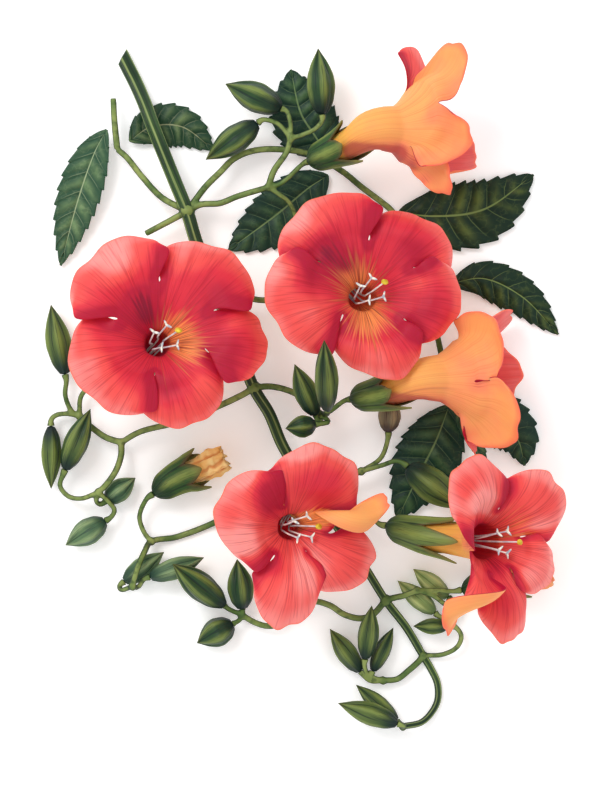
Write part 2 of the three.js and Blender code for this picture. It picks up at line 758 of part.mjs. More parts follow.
function leafBody({ midrib, halfWidths, arch }) {
  const curve = new THREE.CatmullRomCurve3(midrib.map(vector), false, "centripetal");
  const length = curve.getLength();
  const stations = toothPairs * 2;
  const up = new THREE.Vector3(0, 0, 1);
  const points = [];
  const rows = [];
  for (let i = 0; i <= stations; i += 1) {
    const share = i / stations;
    const inside = share > 0 && share < 1;
    const tooth = i % 2 === 0 && inside ? leafShape.onTooth : leafShape.between;
    const outline = share ** leafShape.footPower * (1 - share) ** leafShape.tipPower;
    const shape = leafShape.fullness * outline * tooth.reach;
    const along = curve.getTangentAt(share);
    const left = up.clone().cross(along).normalize();
    const normal = along.clone().cross(left);
    const centre = curve.getPointAt(share);
    const edge = (halfWidth, sign) => {
      const reach = Math.max(halfWidth * shape, leafShape.leastReach);
      return centre
        .clone()
        .addScaledVector(left, sign * reach)
        .addScaledVector(along, inside ? tooth.forward * length : 0)
        .addScaledVector(normal, arch * (reach / halfWidth) ** 1.5);
    };
    const first = points.push(edge(halfWidths[0], 1), centre, edge(halfWidths[1], -1)) - 3;
    rows.push([first, first + 1, first + 2]);
  }
  const triangles = [];
  for (let i = 0; i < stations; i += 1) {
    const [a, b, c] = rows[i];
    const [d, e, f] = rows[i + 1];
    triangles.push([a, b, e], [a, e, d], [b, c, f], [b, f, e]);
  }
  return thickened(points, triangles, leafThickness);
}

// ---------------------------------------------------------------- the branched stem

const knots = {
  upper: [-43.5, 68, 10.5],
  middle: [-18, 0.5, 9.5],
  lower: [32.5, -81, 6.5],
  low: [47, -102.5, 0],
  left: [-69, -20.5, 6],
  farLeft: [-85, -10.5, 5],
  leftCluster: [-77.5, -39.5, 9],
  topFork: [-12.5, 77, 14],
  topCluster: [-4, 95.5, 14],
  heart: [8, -10, 15],
  lowerLeft: [-57.5, -58.5, 4],
  lowerLeftEnd: [-64.5, -75.5, 10.5],
  behind: [2.5, -37, 8],
  behindRight: [23, -31.5, 10],
  rightFork: [44.5, -77, 10.5],
  leftRun: [-23, -86.5, 5],
  lowLeft: [31.5, -112, 3.5],
  tail: [39, -129.5, 6],
};

// The main stem in three lengths: cut end to the middle knot, on to the lower knot, and on
// to the tail. A height of 0 means that the stem lies on the surface.
const mainStem = [
  {
    route: [
      [-68.5, 128, 0], [-66, 123, 0], [-63.5, 118, 0], [-60, 110, 5.4], [-56.5, 100.5, 8.5],
      [-48.5, 80.5, 9.5], knots.upper, [-40, 56.5, 10.5], [-32.5, 37.5, 10],
      [-24.5, 18, 10], knots.middle,
    ],
    radii: [stemRadius, 2.3],
  },
  {
    route: [
      knots.middle, [-12, -9.5, 9], [-7, -21.5, 8.5], knots.behind,
      [13.5, -52, 7.5], [25, -69, 7], knots.lower,
    ],
    radii: [1.9, 1.6],
  },
  {
    route: [
      knots.lower, [40.5, -91.5, 4], knots.low, [50, -107.5, 0], [52.5, -113, 0],
      [52.8, -119, 0], [51, -123.5, 1.5], [46.5, -128, 3.5], knots.tail,
    ],
    radii: [1.6, 1.3],
  },
];

const branches = [
  // leaf stalks
  [knots.upper, [-53.5, 73.5, 8], [-61, 81.5, 7], [-67, 89, 6.5], [-70.5, 92, 6]],
  [[-70.5, 92, 6], [-71.5, 102, 7], [-72, 111.5, 7]],
  [knots.upper, [-49, 65, 10], [-59.5, 59.5, 9]],
  [
    knots.upper, [-36.5, 77.5, 9.5], [-31, 83, 9], [-26, 88, 8.5], [-19.5, 91, 8],
    [-10.5, 92, 7], [4, 90, 6], [16, 83.5, 4.2], [23, 78, 1.8], [27, 75, 0], [31, 72, 0],
    [35, 68.5, 0], [43.5, 53, 2], [49, 34, 3.5], [53, 17.5, 4], [55.5, 5.5, 4.5],
    [58, -3.5, 5],
  ],
  // flower stalks
  [knots.upper, [-38.5, 70.5, 11], [-31, 71, 12], [-24.5, 73.5, 12.5], knots.topFork],
  [knots.topFork, [-10.5, 83, 14], [-5.5, 90.5, 14], knots.topCluster],
  [[-32, 37.5, 10], [-23, 35.5, 9.5], [-15, 34, 9], [-7, 34.5, 9]],
  [knots.middle, [-23, -2.5, 9], [-45, -12, 8], [-62, -16.5, 6.5], knots.left],
  [knots.left, [-75, -18.5, 5.5], [-80, -15, 5], knots.farLeft],
  [knots.left, [-69, -25.5, 7.5], [-71, -31.5, 9.5], [-74.5, -36.5, 10], knots.leftCluster],
  [knots.middle, [-12, 1, 10], [-5, -0.5, 11], [1.5, -4, 12.5], knots.heart],
  [
    knots.behind, [-6, -41, 8], [-17.5, -45, 7.5], [-28, -49, 4], [-37, -53, 0],
    [-41, -54.6, 0], [-45, -56, 0], [-49, -57.2, 0], knots.lowerLeft, [-60, -62.5, 9.5],
    [-62.5, -68.5, 12.2], knots.lowerLeftEnd,
  ],
  [knots.behind, [13, -34.5, 9], knots.behindRight],
  [
    knots.lower, [27.5, -86.5, 6], [23, -88, 6], [16.5, -86.5, 5.5], [11, -83, 5.5],
    [3.5, -81.5, 5.5], [-5.5, -86.5, 5], [-9.5, -90.5, 5], [-13, -91, 5], [-18, -89.5, 5],
    knots.leftRun,
  ],
  [knots.lower, [35.5, -80, 8], [39.5, -79, 10], knots.rightFork],
  [knots.low, [45.5, -104.5, 2.5], [41, -108.5, 3], [37, -111.5, 3], knots.lowLeft],
];

// Each of these ends square against the foot of the flower or bud that it carries.
const carriers = [
  { to: "flower_top", through: [knots.topFork, [-8.5, 78, 14], [-5.5, 80, 14.5]] },
  { to: "flower_centre", through: [knots.topFork, [-8, 74, 14], [-4, 70.5, 12]] },
  { to: "flower_left", through: [knots.farLeft, [-84.5, -3, 6], [-81, 1, 7.5]] },
  { to: "flower_right", through: [knots.heart, [11, -8.5, 17]] },
  { to: "flower_lower", through: [[13, -34.5, 9], [12.5, -30.5, 11]] },
  { to: "flower_low_right", through: [[13.5, -52, 7.5], [19.5, -46, 9], [25, -47.5, 12]] },
  { to: "opening_flower", through: [knots.lowerLeft, [-60, -55.5, 4.5], [-62, -49, 5.5]] },
  { to: "half_open_bud", through: [knots.rightFork, [51, -77, 10]] },
  { to: "bud_01", through: [knots.topCluster, [-4, 101, 14]] },
  { to: "bud_02", through: [knots.topCluster, [-8.5, 101, 14]] },
  { to: "bud_03", through: [knots.topCluster, [0.5, 97, 14], [5, 99, 14.5]] },
  { to: "bud_04", through: [knots.farLeft, [-88, -8.5, 5], [-90.5, -2.5, 5.5]] },
  { to: "bud_05", through: [knots.farLeft, [-89.5, -9.5, 5], [-94, -10, 5]] },
  {
    to: "bud_06",
    through: [knots.leftCluster, [-84.5, -42, 7], [-89.5, -41, 6], [-92.5, -37, 6.2]],
  },
  { to: "bud_07", through: [knots.leftCluster, [-78.5, -43, 7]] },
  { to: "bud_08", through: [knots.leftCluster, [-73.5, -43.5, 8], [-71.5, -46.5, 7]] },
  { to: "bud_09", through: [knots.lowerLeftEnd, [-69, -77, 7]] },
  { to: "bud_10", through: [knots.lowerLeftEnd, [-62.5, -76, 7]] },
  { to: "bud_11", through: [knots.leftRun, [-26.3, -85.2, 5]] },
  { to: "bud_12", through: [knots.leftRun, [-23.3, -88.5, 5.6]] },
  { to: "bud_13", through: [knots.leftRun] },
  { to: "bud_14", through: [knots.lowLeft, [26, -110, 5]] },
  { to: "bud_15", through: [knots.lowLeft, [27, -112.2, 4]] },
  { to: "bud_16", through: [knots.lowLeft] },
  { to: "bud_17", through: [knots.tail] },
  { to: "bud_18", through: [knots.tail] },
  { to: "bud_19", through: [[60, -82, 5.6], [59.5, -85.5, 5], [57, -87.6, 4.7]] },
  { to: "bud_20", through: [knots.rightFork, [50.5, -79, 10], [56, -82.8, 8], [60, -82.6, 5.6]] },
  { to: "bud_21", through: [knots.low, [54.5, -102, 3.5], [60, -99, 4.5], [61.5, -94.5, 5.5]] },
  { to: "bud_22", through: [knots.behindRight, [31.5, -29, 11], [36, -27.5, 12]] },
  { to: "bud_23", through: [knots.behindRight, [30.5, -26.5, 8]] },
  { to: "bud_24", through: [knots.heart, [9, -9.5, 17]] },
  { to: "bud_25", through: [knots.heart] },
  { to: "bud_26", through: [knots.heart, [10.5, -12.5, 16.5]] },
];

const swellings = { upper: 3.6, middle: 3.2, lower: 2.6, low: 1.4, usual: 1.9 };
const leadIn = 2.2; // how far a stalk runs straight before the foot of what it carries

function stemBody() {
  const heads = { ...buds, ...flowers, ...openingFlowers };
  const parts = mainStem.map(({ route, radii }) => stalk(route, ...radii, sides.stem));
  for (const route of branches) {
    parts.push(stalk(route, stalkRadius, stalkEndRadius, sides.branch));
  }
  for (const { to, through } of carriers) {
    const head = heads[to];
    const foot = vector(head.base);
    const along = vector(head.bend || head.tip).sub(foot).normalize();
    const ends = [leadIn, joinGap].map((back) => foot.clone().addScaledVector(along, -back));
    const route = [...through, ...ends.map((point) => point.toArray())];
    parts.push(stalk(route, budStalkRadius, budStalkRadius, sides.budStalk));
  }
  for (const [name, place] of Object.entries(knots)) {
    parts.push(swelling(place, swellings[name] || swellings.usual));
  }
  return joined(parts);
}

// ---------------------------------------------------------------- assembly

const spray = new THREE.Group();

function addPiece(name, geometry, material) {
  const piece = new THREE.Mesh(geometry, material);
  piece.name = name;
  spray.add(piece);
}

const petalFinish = finish(colours.petal, 0.5);
const petalBackFinish = finish(colours.petalBack, 0.5);
const calyxFinish = finish(colours.calyx, 0.55);
const stamenFinish = finish(colours.stamen, 0.5);
const openingFinish = finish(colours.openingPetal, 0.55);

addPiece("stem", stemBody(), finish(colours.stem, 0.6));
for (const [name, flower] of Object.entries(flowers)) {
  const petal = flower.showsBack ? petalBackFinish : petalFinish;
  addPiece(`${name}_corolla`, corollaBody(flower), petal);
  addPiece(`${name}_calyx`, calyxBody(flower), calyxFinish);
  addPiece(`${name}_stamens`, stamenBody(flower), stamenFinish);
}
for (const [name, flower] of Object.entries(openingFlowers)) {
  addPiece(`${name}_corolla`, rolledCorolla(flower), openingFinish);
  addPiece(`${name}_calyx`, calyxBody(flower), calyxFinish);
}
for (const [name, bud] of Object.entries(buds)) {
  addPiece(name, budBody(bud), finish(bud.pale ? colours.paleBud : colours.bud, 0.5));
}
for (const [name, leaf] of Object.entries(leaves)) {
  addPiece(name, leafBody(leaf), finish(leaf.pale ? colours.paleLeaf : colours.leaf, 0.6));
}

// The origin is the middle of the spray's outline on the surface.
const outline = new THREE.Box3().setFromObject(spray);
const middle = outline.getCenter(new THREE.Vector3());
spray.position.set(-middle.x, -middle.y, -outline.min.z);
spray.updateMatrixWorld(true);

export default spray;
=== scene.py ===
import math
import random

import bpy
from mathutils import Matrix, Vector, noise


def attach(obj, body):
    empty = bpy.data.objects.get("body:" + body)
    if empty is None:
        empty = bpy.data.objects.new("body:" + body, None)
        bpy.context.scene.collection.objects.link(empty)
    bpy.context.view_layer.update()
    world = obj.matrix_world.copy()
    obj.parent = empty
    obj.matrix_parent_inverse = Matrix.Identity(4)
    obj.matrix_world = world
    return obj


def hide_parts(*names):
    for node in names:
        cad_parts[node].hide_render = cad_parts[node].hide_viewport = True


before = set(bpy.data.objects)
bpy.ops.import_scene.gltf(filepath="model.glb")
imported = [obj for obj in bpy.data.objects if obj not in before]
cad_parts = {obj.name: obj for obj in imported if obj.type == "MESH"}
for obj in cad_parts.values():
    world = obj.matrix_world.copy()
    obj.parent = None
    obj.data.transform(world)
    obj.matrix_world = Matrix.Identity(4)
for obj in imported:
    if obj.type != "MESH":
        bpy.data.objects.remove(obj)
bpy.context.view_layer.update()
bpy.ops.object.select_all(action="DESELECT")
print("frame loaded,", len(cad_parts), "nodes")

mm = 0.001  # shapes are worked out in millimetres and written to the meshes in metres
topBudTip = Vector((6.5, 130, 15))  # where the uppermost bud ends, in the spray's own numbers
highestPoint = max((v.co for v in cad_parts["bud_03"].data.vertices), key=lambda co: co.y)
sprayShift = highestPoint / mm - topBudTip
lobeCount = 5
sepalCount = 5  # and so the ribs of a bud
stemRibs = 5


# small maths

def mix(low, high, share):
    return low + (high - low) * share


def smooth(x):
    x = min(max(x, 0.0), 1.0)
    return x * x * (3 - 2 * x)


def throughStops(stops, x):  # straight from one (x, y) stop to the next, level beyond the ends
    if x <= stops[0][0]:
        return stops[0][1]
    for (x0, y0), (x1, y1) in zip(stops, stops[1:]):
        if x <= x1:
            return mix(y0, y1, (x - x0) / (x1 - x0))
    return stops[-1][1]


def softStops(stops, x, width):  # the same with its corners rounded
    return sum(throughStops(stops, x + width * k) for k in (-1, -0.5, 0, 0.5, 1)) / 5


class Route:  # an even, smooth path through a few points
    def __init__(self, points, samples=240):
        points = [Vector(p) for p in points]
        ends = [points[0] * 2 - points[1]] + points + [points[-1] * 2 - points[-2]]
        self.points = []
        spans = len(points) - 1
        for i in range(samples + 1):
            place = min(i / samples * spans, spans - 1e-9)
            k = int(place)
            self.points.append(self.between(*ends[k:k + 4], place - k))
        self.marks = [0.0]
        for a, b in zip(self.points, self.points[1:]):
            self.marks.append(self.marks[-1] + (b - a).length)
        self.length = self.marks[-1]

    @staticmethod
    def between(p0, p1, p2, p3, t):  # centripetal Catmull-Rom
        d0, d1, d2 = (max((b - a).length, 1e-6) ** 0.5 for a, b in ((p0, p1), (p1, p2), (p2, p3)))
        m1 = ((p1 - p0) / d0 - (p2 - p0) / (d0 + d1) + (p2 - p1) / d1) * d1
        m2 = ((p2 - p1) / d1 - (p3 - p1) / (d1 + d2) + (p3 - p2) / d2) * d1
        return (p1 + m1 * t + (p2 * 3 - p1 * 3 - m1 * 2 - m2) * t * t
                + (p1 * 2 - p2 * 2 + m1 + m2) * t * t * t)

    def at(self, distance):
        distance = min(max(distance, 0.0), self.length)
        low, high = 0, len(self.marks) - 1
        while high - low > 1:
            middle = (low + high) // 2
            if self.marks[middle] <= distance:
                low = middle
            else:
                high = middle
        span = max(self.marks[high] - self.marks[low], 1e-9)
        return self.points[low].lerp(self.points[high], (distance - self.marks[low]) / span)

    def direction(self, distance):
        step = self.length * 0.004
        return (self.at(distance + step) - self.at(distance - step)).normalized()


def around(centre, first, second, turn, radius):  # a point of a ring
    return centre + first * (radius * math.cos(turn)) + second * (radius * math.sin(turn))


# shader maths written as expressions

class Wire:
    tree = None

    def __init__(self, socket):
        self.socket = socket

    @classmethod
    def node(cls, kind, settings=None, sockets=None, out=0):
        made = cls.tree.nodes.new(kind)
        for key, value in (settings or {}).items():
            setattr(made, key, value)
        for key, value in (sockets or {}).items():
            if isinstance(value, Wire):
                cls.tree.links.new(value.socket, made.inputs[key])
            else:
                made.inputs[key].default_value = value
        return cls(made.outputs[out])

    @classmethod
    def maths(cls, operation, *values):
        return cls.node("ShaderNodeMath", {"operation": operation}, dict(enumerate(values)))

    def __add__(self, other):
        return Wire.maths("ADD", self, other)

    def __sub__(self, other):
        return Wire.maths("SUBTRACT", self, other)

    def __rsub__(self, other):
        return Wire.maths("SUBTRACT", other, self)

    def __mul__(self, other):
        return Wire.maths("MULTIPLY", self, other)

    __radd__ = __add__
    __rmul__ = __mul__


def ease(value, low, high, start=0.0, end=1.0):  # smooth step from low to high
    sockets = {"Value": value, 1: low, 2: high, 3: start, 4: end}
    return Wire.node("ShaderNodeMapRange", {"interpolation_type": "SMOOTHSTEP"}, sockets)


def blend(share, first, second):  # of two colours
    return Wire.node("ShaderNodeMix", {"data_type": "RGBA"}, {0: share, 6: first, 7: second}, 2)


def shade(red, green, blue):  # a screen colour, 0 to 255, as light
    def linear(c):
        c /= 255
        return c / 12.92 if c <= 0.04045 else ((c + 0.055) / 1.055) ** 2.4
    return (linear(red), linear(green), linear(blue), 1.0)


def surfacePlace():  # across and along of the piece's own UV map
    uv = Wire.node("ShaderNodeUVMap", {"uv_map": "UVMap"})
    across = Wire.node("ShaderNodeSeparateXYZ", sockets={0: uv}, out=0)
    along = Wire.node("ShaderNodeSeparateXYZ", sockets={0: uv}, out=1)
    return across, along


def objectPlace():
    return Wire.node("ShaderNodeTexCoord", out=3)


def grain(place, scale, detail=3.0):  # cloudy noise, 0 to 1
    sockets = {"Vector": place, "Scale": scale, "Detail": detail}
    return Wire.node("ShaderNodeTexNoise", sockets=sockets)


def streaks(across, along, count, stretch, detail=1.0):  # lines that run along the surface
    place = Wire.node("ShaderNodeCombineXYZ", sockets={0: across * count, 1: along * stretch})
    return grain(place, 1.0, detail)


def startFinish(name):
    material = bpy.data.materials.new(name)
    material.use_nodes = True
    Wire.tree = material.node_tree
    return material


def closeFinish(material, colour, roughness, height, depth, **fixed):  # depth of the bumps, mm
    surface = material.node_tree.nodes["Principled BSDF"]
    for socket, value in (("Base Color", colour), ("Roughness", roughness)):
        if isinstance(value, Wire):
            material.node_tree.links.new(value.socket, surface.inputs[socket])
        else:
            surface.inputs[socket].default_value = value
    bump = Wire.node("ShaderNodeBump", sockets={"Height": height, "Distance": depth * mm})
    material.node_tree.links.new(bump.socket, surface.inputs["Normal"])
    for socket, value in fixed.items():
        surface.inputs[socket.replace("_", " ")].default_value = value
    return material


# petals

petalFinish = {
    "coral": shade(226, 78, 74),
    "red": shade(204, 42, 60),
    # crimson of the petals' deep parts, also used as painted shade in folds, under overlaps and
    # into the throat
    "crimsonAndShade": shade(166, 10, 48),
    "vein": shade(150, 10, 38),
    # pink painted highlight on the petals' domes; on the backs a blush along the lobes' margins
    "pinkHighlightAndBlush": shade(246, 150, 144),
    "rim": shade(240, 112, 84),
    "gold": shade(250, 158, 82),
    # maroon of the dark lines in the throat, also used as painted shadow beside the throat
    "maroonLinesAndShadow": shade(112, 2, 40),
    "deep": shade(236, 84, 118),
    "clouds": 60,  # scales of the patterns: clouds for a metre, the others round the throat
    "veins": 34,
    "hairVeins": 62,
    "broadRays": 6,
    "spokes": 23,
    "veinDepth": 0.05,
    "glow": 0.35,  # how much light passes through the petal
    "glowDepth": 0.003,
}


def painted(layerName):  # a layer of soft patches
    return Wire.node("ShaderNodeAttribute", {"attribute_name": layerName}, out=2)


def towardEdge(across):  # 0 along the middle of a lobe, 1 at its two edges
    return Wire.maths("ABSOLUTE", Wire.maths("FRACT", across * lobeCount) * 2 - 1)


def petalInside(name):
    look = petalFinish
    material = startFinish(name)
    across, along = surfacePlace()
    # soft patches of painted highlight (below 0) and of crimson colour with painted shade (above 0)
    paintedShading = painted("shade")
    clouds = grain(objectPlace(), look["clouds"], 2.0)
    rays = Wire.node("ShaderNodeAttribute", {"attribute_name": "ray"}, out=1)
    fine, hair, broad = (grain(rays, look[key], 1.0) for key in ("veins", "hairVeins", "broadRays"))
    spokes = grain(rays, look["spokes"], 0.0)
    # crimson along the lobes' edges where they overlap: painted shade
    paintedOverlapShade = ease(towardEdge(across), 0.62, 1.0) * ease(along, 0.46, 0.56)
    paintedOverlapShade = paintedOverlapShade * ease(along, 0.98, 0.8)
    tone = paintedShading + (clouds - 0.5) * 0.4 + (broad - 0.5) * 0.6 + paintedOverlapShade * 1.5
    tone = tone + ease(along, 0.9, 0.6) * 0.55 - ease(along, 0.84, 0.98) * 0.4
    colour = blend(ease(tone, -0.15, 0.45), look["coral"], look["red"])
    colour = blend(ease(tone, 0.35, 1.2), colour, look["crimsonAndShade"])
    # pink painted highlight where the tone runs low
    colour = blend(ease(tone, -0.1, -0.9) * 0.85, colour, look["pinkHighlightAndBlush"])
    gold = ease(painted("gold") + (spokes - 0.5) * 1.1, 0.3, 1.0)
    colour = blend(gold * 0.85, colour, look["gold"])
    colour = blend(ease(fine, 0.54, 0.66) * ease(along, 0.98, 0.7) * 0.4, colour, look["vein"])
    colour = blend(ease(hair, 0.52, 0.7) * 0.28, colour, look["vein"])
    colour = blend(ease(along, 0.975, 1.0) * 0.7, colour, look["rim"])
    # deeper crimson into the throat: painted shade
    throatShade = ease(along + broad * 0.1, 0.44, 0.3)
    colour = blend(throatShade * (1 - gold) * 0.6, colour, look["crimsonAndShade"])
    lines = ease(spokes, 0.53, 0.6) * ease(along + broad * 0.2, 0.76, 0.42)
    colour = blend(lines * (gold * 0.2 + 0.5), colour, look["maroonLinesAndShadow"])
    # maroon painted shadow where the patches are strongest, beside the throat
    dark = ease(paintedShading + (spokes - 0.5) * 0.9, 0.85, 1.5) * ease(along, 0.85, 0.6)
    colour = blend(dark * 0.8, colour, look["maroonLinesAndShadow"])
    colour = blend(ease(along, 0.27, 0.14), colour, look["deep"])
    return closeFinish(material, colour, ease(fine, 0.2, 0.8, 0.5, 0.62), fine * 0.6 + hair * 0.3,
                       look["veinDepth"], Specular_IOR_Level=0.25,
                       Subsurface_Weight=look["glow"], Subsurface_Scale=look["glowDepth"])


petalBackFinish = {
    "apricot": shade(240, 162, 94),
    "peach": shade(238, 136, 94),
    "coral": shade(236, 108, 80),
    "tube": shade(250, 180, 74),
    "line": shade(214, 112, 62),
    "pinkHighlightAndBlush": shade(242, 118, 92),
    "plum": shade(170, 58, 66),
    "veins": 220,  # how many streaks of each kind lie round the flower
    "hairVeins": 420,
    "broadStreaks": 34,
}


def petalOutside(name):
    look = petalBackFinish
    material = startFinish(name)
    across, along = surfacePlace()
    paintedShading = painted("shade")
    clouds = grain(objectPlace(), petalFinish["clouds"])
    fine = streaks(across, along, look["veins"], 0.6)
    hair = streaks(across, along, look["hairVeins"], 1.0)
    broad = streaks(across, along, look["broadStreaks"], 0.9)
    # the patches lay painted highlight and painted shade over the backs
    tone = paintedShading + (clouds - 0.5) * 1.2
    colour = blend(ease(tone, -0.3, 0.5), look["apricot"], look["peach"])
    colour = blend(ease(along, 0.34, 0.14) * 0.8, colour, look["tube"])
    colour = blend(ease(fine, 0.53, 0.66) * ease(along, 0.95, 0.55) * 0.4, colour, look["line"])
    colour = blend(ease(hair, 0.52, 0.72) * 0.22, colour, look["coral"])
    colour = blend(ease(broad, 0.56, 0.74) * ease(along, 0.5, 0.2) * 0.4, colour, look["plum"])
    # plum where the patches lie, along the lower side of the tubes: painted shade
    colour = blend(ease(paintedShading + (fine - 0.5) * 0.8, 0.35, 1.1) * 0.75, colour, look["plum"])
    margin = ease(towardEdge(across) + clouds * 0.4, 0.7, 1.3) * ease(along, 0.5, 0.72)
    colour = blend(margin * 0.35, colour, look["pinkHighlightAndBlush"])
    colour = blend(ease(along + clouds * 0.06, 0.94, 1.03) * 0.8, colour, look["coral"])
    return closeFinish(material, colour, 0.55, fine * 0.7 + hair * 0.3, petalFinish["veinDepth"],
                       Specular_IOR_Level=0.22, Subsurface_Weight=petalFinish["glow"],
                       Subsurface_Scale=petalFinish["glowDepth"])


# green parts

def ripples(across, count):  # round a stem or bud, 1 on a rib and -1 between two
    return Wire.maths("COSINE", across * (2 * math.pi * count))


ribbedPatterns = {
    "streaks": 60,  # round a piece
    "clouds": 110,  # for a metre
    "regions": 22,  # some are lighter than others
}


def ribbedGreen(name, *colours):  # those of the base, the body, the ridges' painted highlight and lighter regions, and the tip
    base, body, ridge, tip = (shade(*colour) for colour in colours)
    look = ribbedPatterns
    material = startFinish(name)
    across, along = surfacePlace()
    place = objectPlace()
    rib = ripples(across, sepalCount)
    fine = streaks(across, along, look["streaks"], 2.0, 2.0)
    clouds = grain(place, look["clouds"])
    lit = ease(rib + fine * 2.4 + clouds * 1.4, 1.5, 3.3) * ease(along, 0.05, 0.4)
    region = grain(place, look["regions"], 1.0)
    colour = blend(ease(along + clouds * 0.6, 0.2, 0.8), base, body)
    colour = blend(ease(region, 0.45, 0.62) * ease(along, 0.1, 0.5) * 0.35, colour, ridge)
    # ridges painted lighter where they would catch the light: painted highlight
    colour = blend(lit * 0.8, colour, ridge)
    colour = blend(ease(fine, 0.52, 0.66) * 0.6, colour, base)
    colour = blend(ease(rib, -0.9, -1.0) * ease(along, 0.2, 0.5) * 0.7, colour, base)
    colour = blend(ease(along + clouds * 0.2, 0.9, 1.08) * 0.35, colour, tip)
    return closeFinish(material, colour, ease(clouds, 0.3, 0.7, 0.4, 0.55), fine + rib * 0.2, 0.2,
                       Specular_IOR_Level=0.25)


stemColours = {
    "dark": shade(28, 56, 28),
    "light": shade(52, 82, 38),
    "rib": shade(156, 172, 104),
    "groove": shade(10, 30, 18),
    "streaks": 40,  # round the stem
    "clouds": 60,  # for a metre, as in the looks that follow
}


def stemFinish(name):
    look = stemColours
    material = startFinish(name)
    across, along = surfacePlace()
    rib = ripples(across, stemRibs)
    fine = streaks(across, along, look["streaks"], 14, 3.0)
    clouds = grain(objectPlace(), look["clouds"])
    colour = blend(ease(clouds, 0.3, 0.7), look["dark"], look["light"])
    colour = blend(ease(rib + fine, 0.95, 1.7) * 0.75, colour, look["rib"])
    colour = blend(ease(rib + fine, 0.1, -0.7) * 0.85, colour, look["groove"])
    return closeFinish(material, colour, 0.5, fine + rib * 0.3, 0.25, Specular_IOR_Level=0.3)


stalkColours = {
    "dark": shade(76, 104, 48),
    "light": shade(140, 154, 86),
    "speck": shade(38, 66, 32),
    # painted shade for the sides and undersides of the stalks
    "paintedFlankShade": shade(20, 44, 22),
    "clouds": 90,
    "specks": 420,
}


def stalkFinish(name):
    look = stalkColours
    material = startFinish(name)
    place = objectPlace()
    clouds = grain(place, look["clouds"])
    fine = grain(place, look["specks"])
    normal = Wire.node("ShaderNodeTexCoord", out=1)
    upward = Wire.node("ShaderNodeSeparateXYZ", sockets={0: normal}, out=2)
    colour = blend(ease(clouds, 0.3, 0.7), look["dark"], look["light"])
    colour = blend(ease(fine, 0.48, 0.72) * 0.65, colour, look["speck"])
    paintedFlankShade = ease(1 - upward + (fine - 0.5) * 0.3, 0.16, 0.56)  # painted shade, darker at their sides and undersides
    colour = blend(paintedFlankShade * 0.85, colour, look["paintedFlankShade"])
    return closeFinish(material, colour, 0.5, fine, 0.15, Specular_IOR_Level=0.25)


leafVeins = {"pairs": 7, "lean": 0.11}  # side veins, and how far they run forward
leafPatterns = {"clouds": 55, "specks": 330, "net": 230}


def leafFinish(name, *colours, underside=False):  # those of the ground, the painted highlight on the bulges, the veins
    dark, light, vein = (shade(*colour) for colour in colours)
    material = startFinish(name)
    across, along = surfacePlace()
    place = objectPlace()
    side = Wire.maths("ABSOLUTE", across * 2 - 1)
    phase = (along - (side - 1) * leafVeins["lean"]) * leafVeins["pairs"]
    toVein = Wire.maths("PINGPONG", phase, 0.5)  # 0 on a side vein, a half between two
    clouds = grain(place, leafPatterns["clouds"])
    fine = grain(place, leafPatterns["specks"], 4.0)
    net = Wire.maths("ABSOLUTE", grain(place, leafPatterns["net"], 2.0) - 0.5)
    # the quilted bulges between the veins, near the midrib, painted lighter: painted highlight
    bulgeHighlight = ease(toVein + (clouds - 0.5) * 0.9, 0.1, 0.7) * ease(side, 1.05, 0.3)
    bulgeHighlight = bulgeHighlight * ease(clouds, 0.3, 0.6)
    colour = blend(bulgeHighlight * 0.8, dark, light)
    colour = blend(ease(fine, 0.5, 0.7) * 0.5, colour, dark)
    colour = blend(ease(net, 0.03, 0.0) * 0.1, colour, vein)
    onVein = ease(toVein, 0.035, 0.008) * ease(side, 0.95, 0.4) * 0.38
    onRib = ease(side, 0.045, 0.015) * 0.9
    colour = blend(Wire.maths("MAXIMUM", onVein, onRib), colour, vein)
    height = ease(toVein, 0.0, 0.25) * 0.8 + fine * 0.5
    if underside:
        height = fine * 0.5 - ease(toVein, 0.0, 0.2)
    return closeFinish(material, colour, ease(fine, 0.3, 0.7, 0.4, 0.58), height, 0.25,
                       Specular_IOR_Level=0.22)


def plainFinish(name, low, high, scale):
    material = startFinish(name)
    clouds = grain(objectPlace(), scale)
    colour = blend(ease(clouds, 0.35, 0.68), shade(*low), shade(*high))
    return closeFinish(material, colour, 0.5, clouds, 0.15)


greens = {
    "calyx": ribbedGreen("calyxGreen", (12, 38, 24), (46, 78, 34), (138, 152, 74), (116, 62, 40)),
    "bud": ribbedGreen("budGreen", (8, 30, 30), (36, 66, 34), (126, 142, 70), (70, 54, 32)),
    "paleBud": ribbedGreen("paleBudGreen", (84, 108, 60), (140, 160, 94), (196, 204, 136),
                           (130, 120, 76)),
    "softBud": ribbedGreen("softBudGreen", (22, 50, 42), (70, 102, 70), (148, 170, 118),
                           (100, 92, 60)),
    "dryBud": ribbedGreen("dryBudBrown", (58, 38, 42), (104, 94, 76), (172, 154, 116),
                          (150, 130, 80)),
    "stem": stemFinish("stemGreen"),
    "stalk": stalkFinish("stalkGreen"),
    "leaf": leafFinish("leafGreen", (20, 52, 40), (74, 106, 64), (110, 136, 86)),
    "leafMild": leafFinish("leafMildGreen", (30, 62, 40), (118, 138, 86), (146, 150, 112)),
    "leafSunny": leafFinish("leafSunnyGreen", (12, 40, 24), (100, 116, 50), (118, 138, 76)),
    "under": leafFinish("leafUnderside", (44, 78, 56), (120, 148, 100), (160, 176, 136),
                        underside=True),
}
filamentFinish = plainFinish("filamentCream", (196, 196, 204), (252, 248, 236), 300)
antherFinish = plainFinish("antherPale", (168, 178, 190), (250, 246, 226), 700)
stigmaFinish = plainFinish("stigmaYellow", (196, 168, 30), (240, 218, 64), 600)
print("finishes made")


# making pieces

def deselect():
    bpy.ops.object.select_all(action="DESELECT")


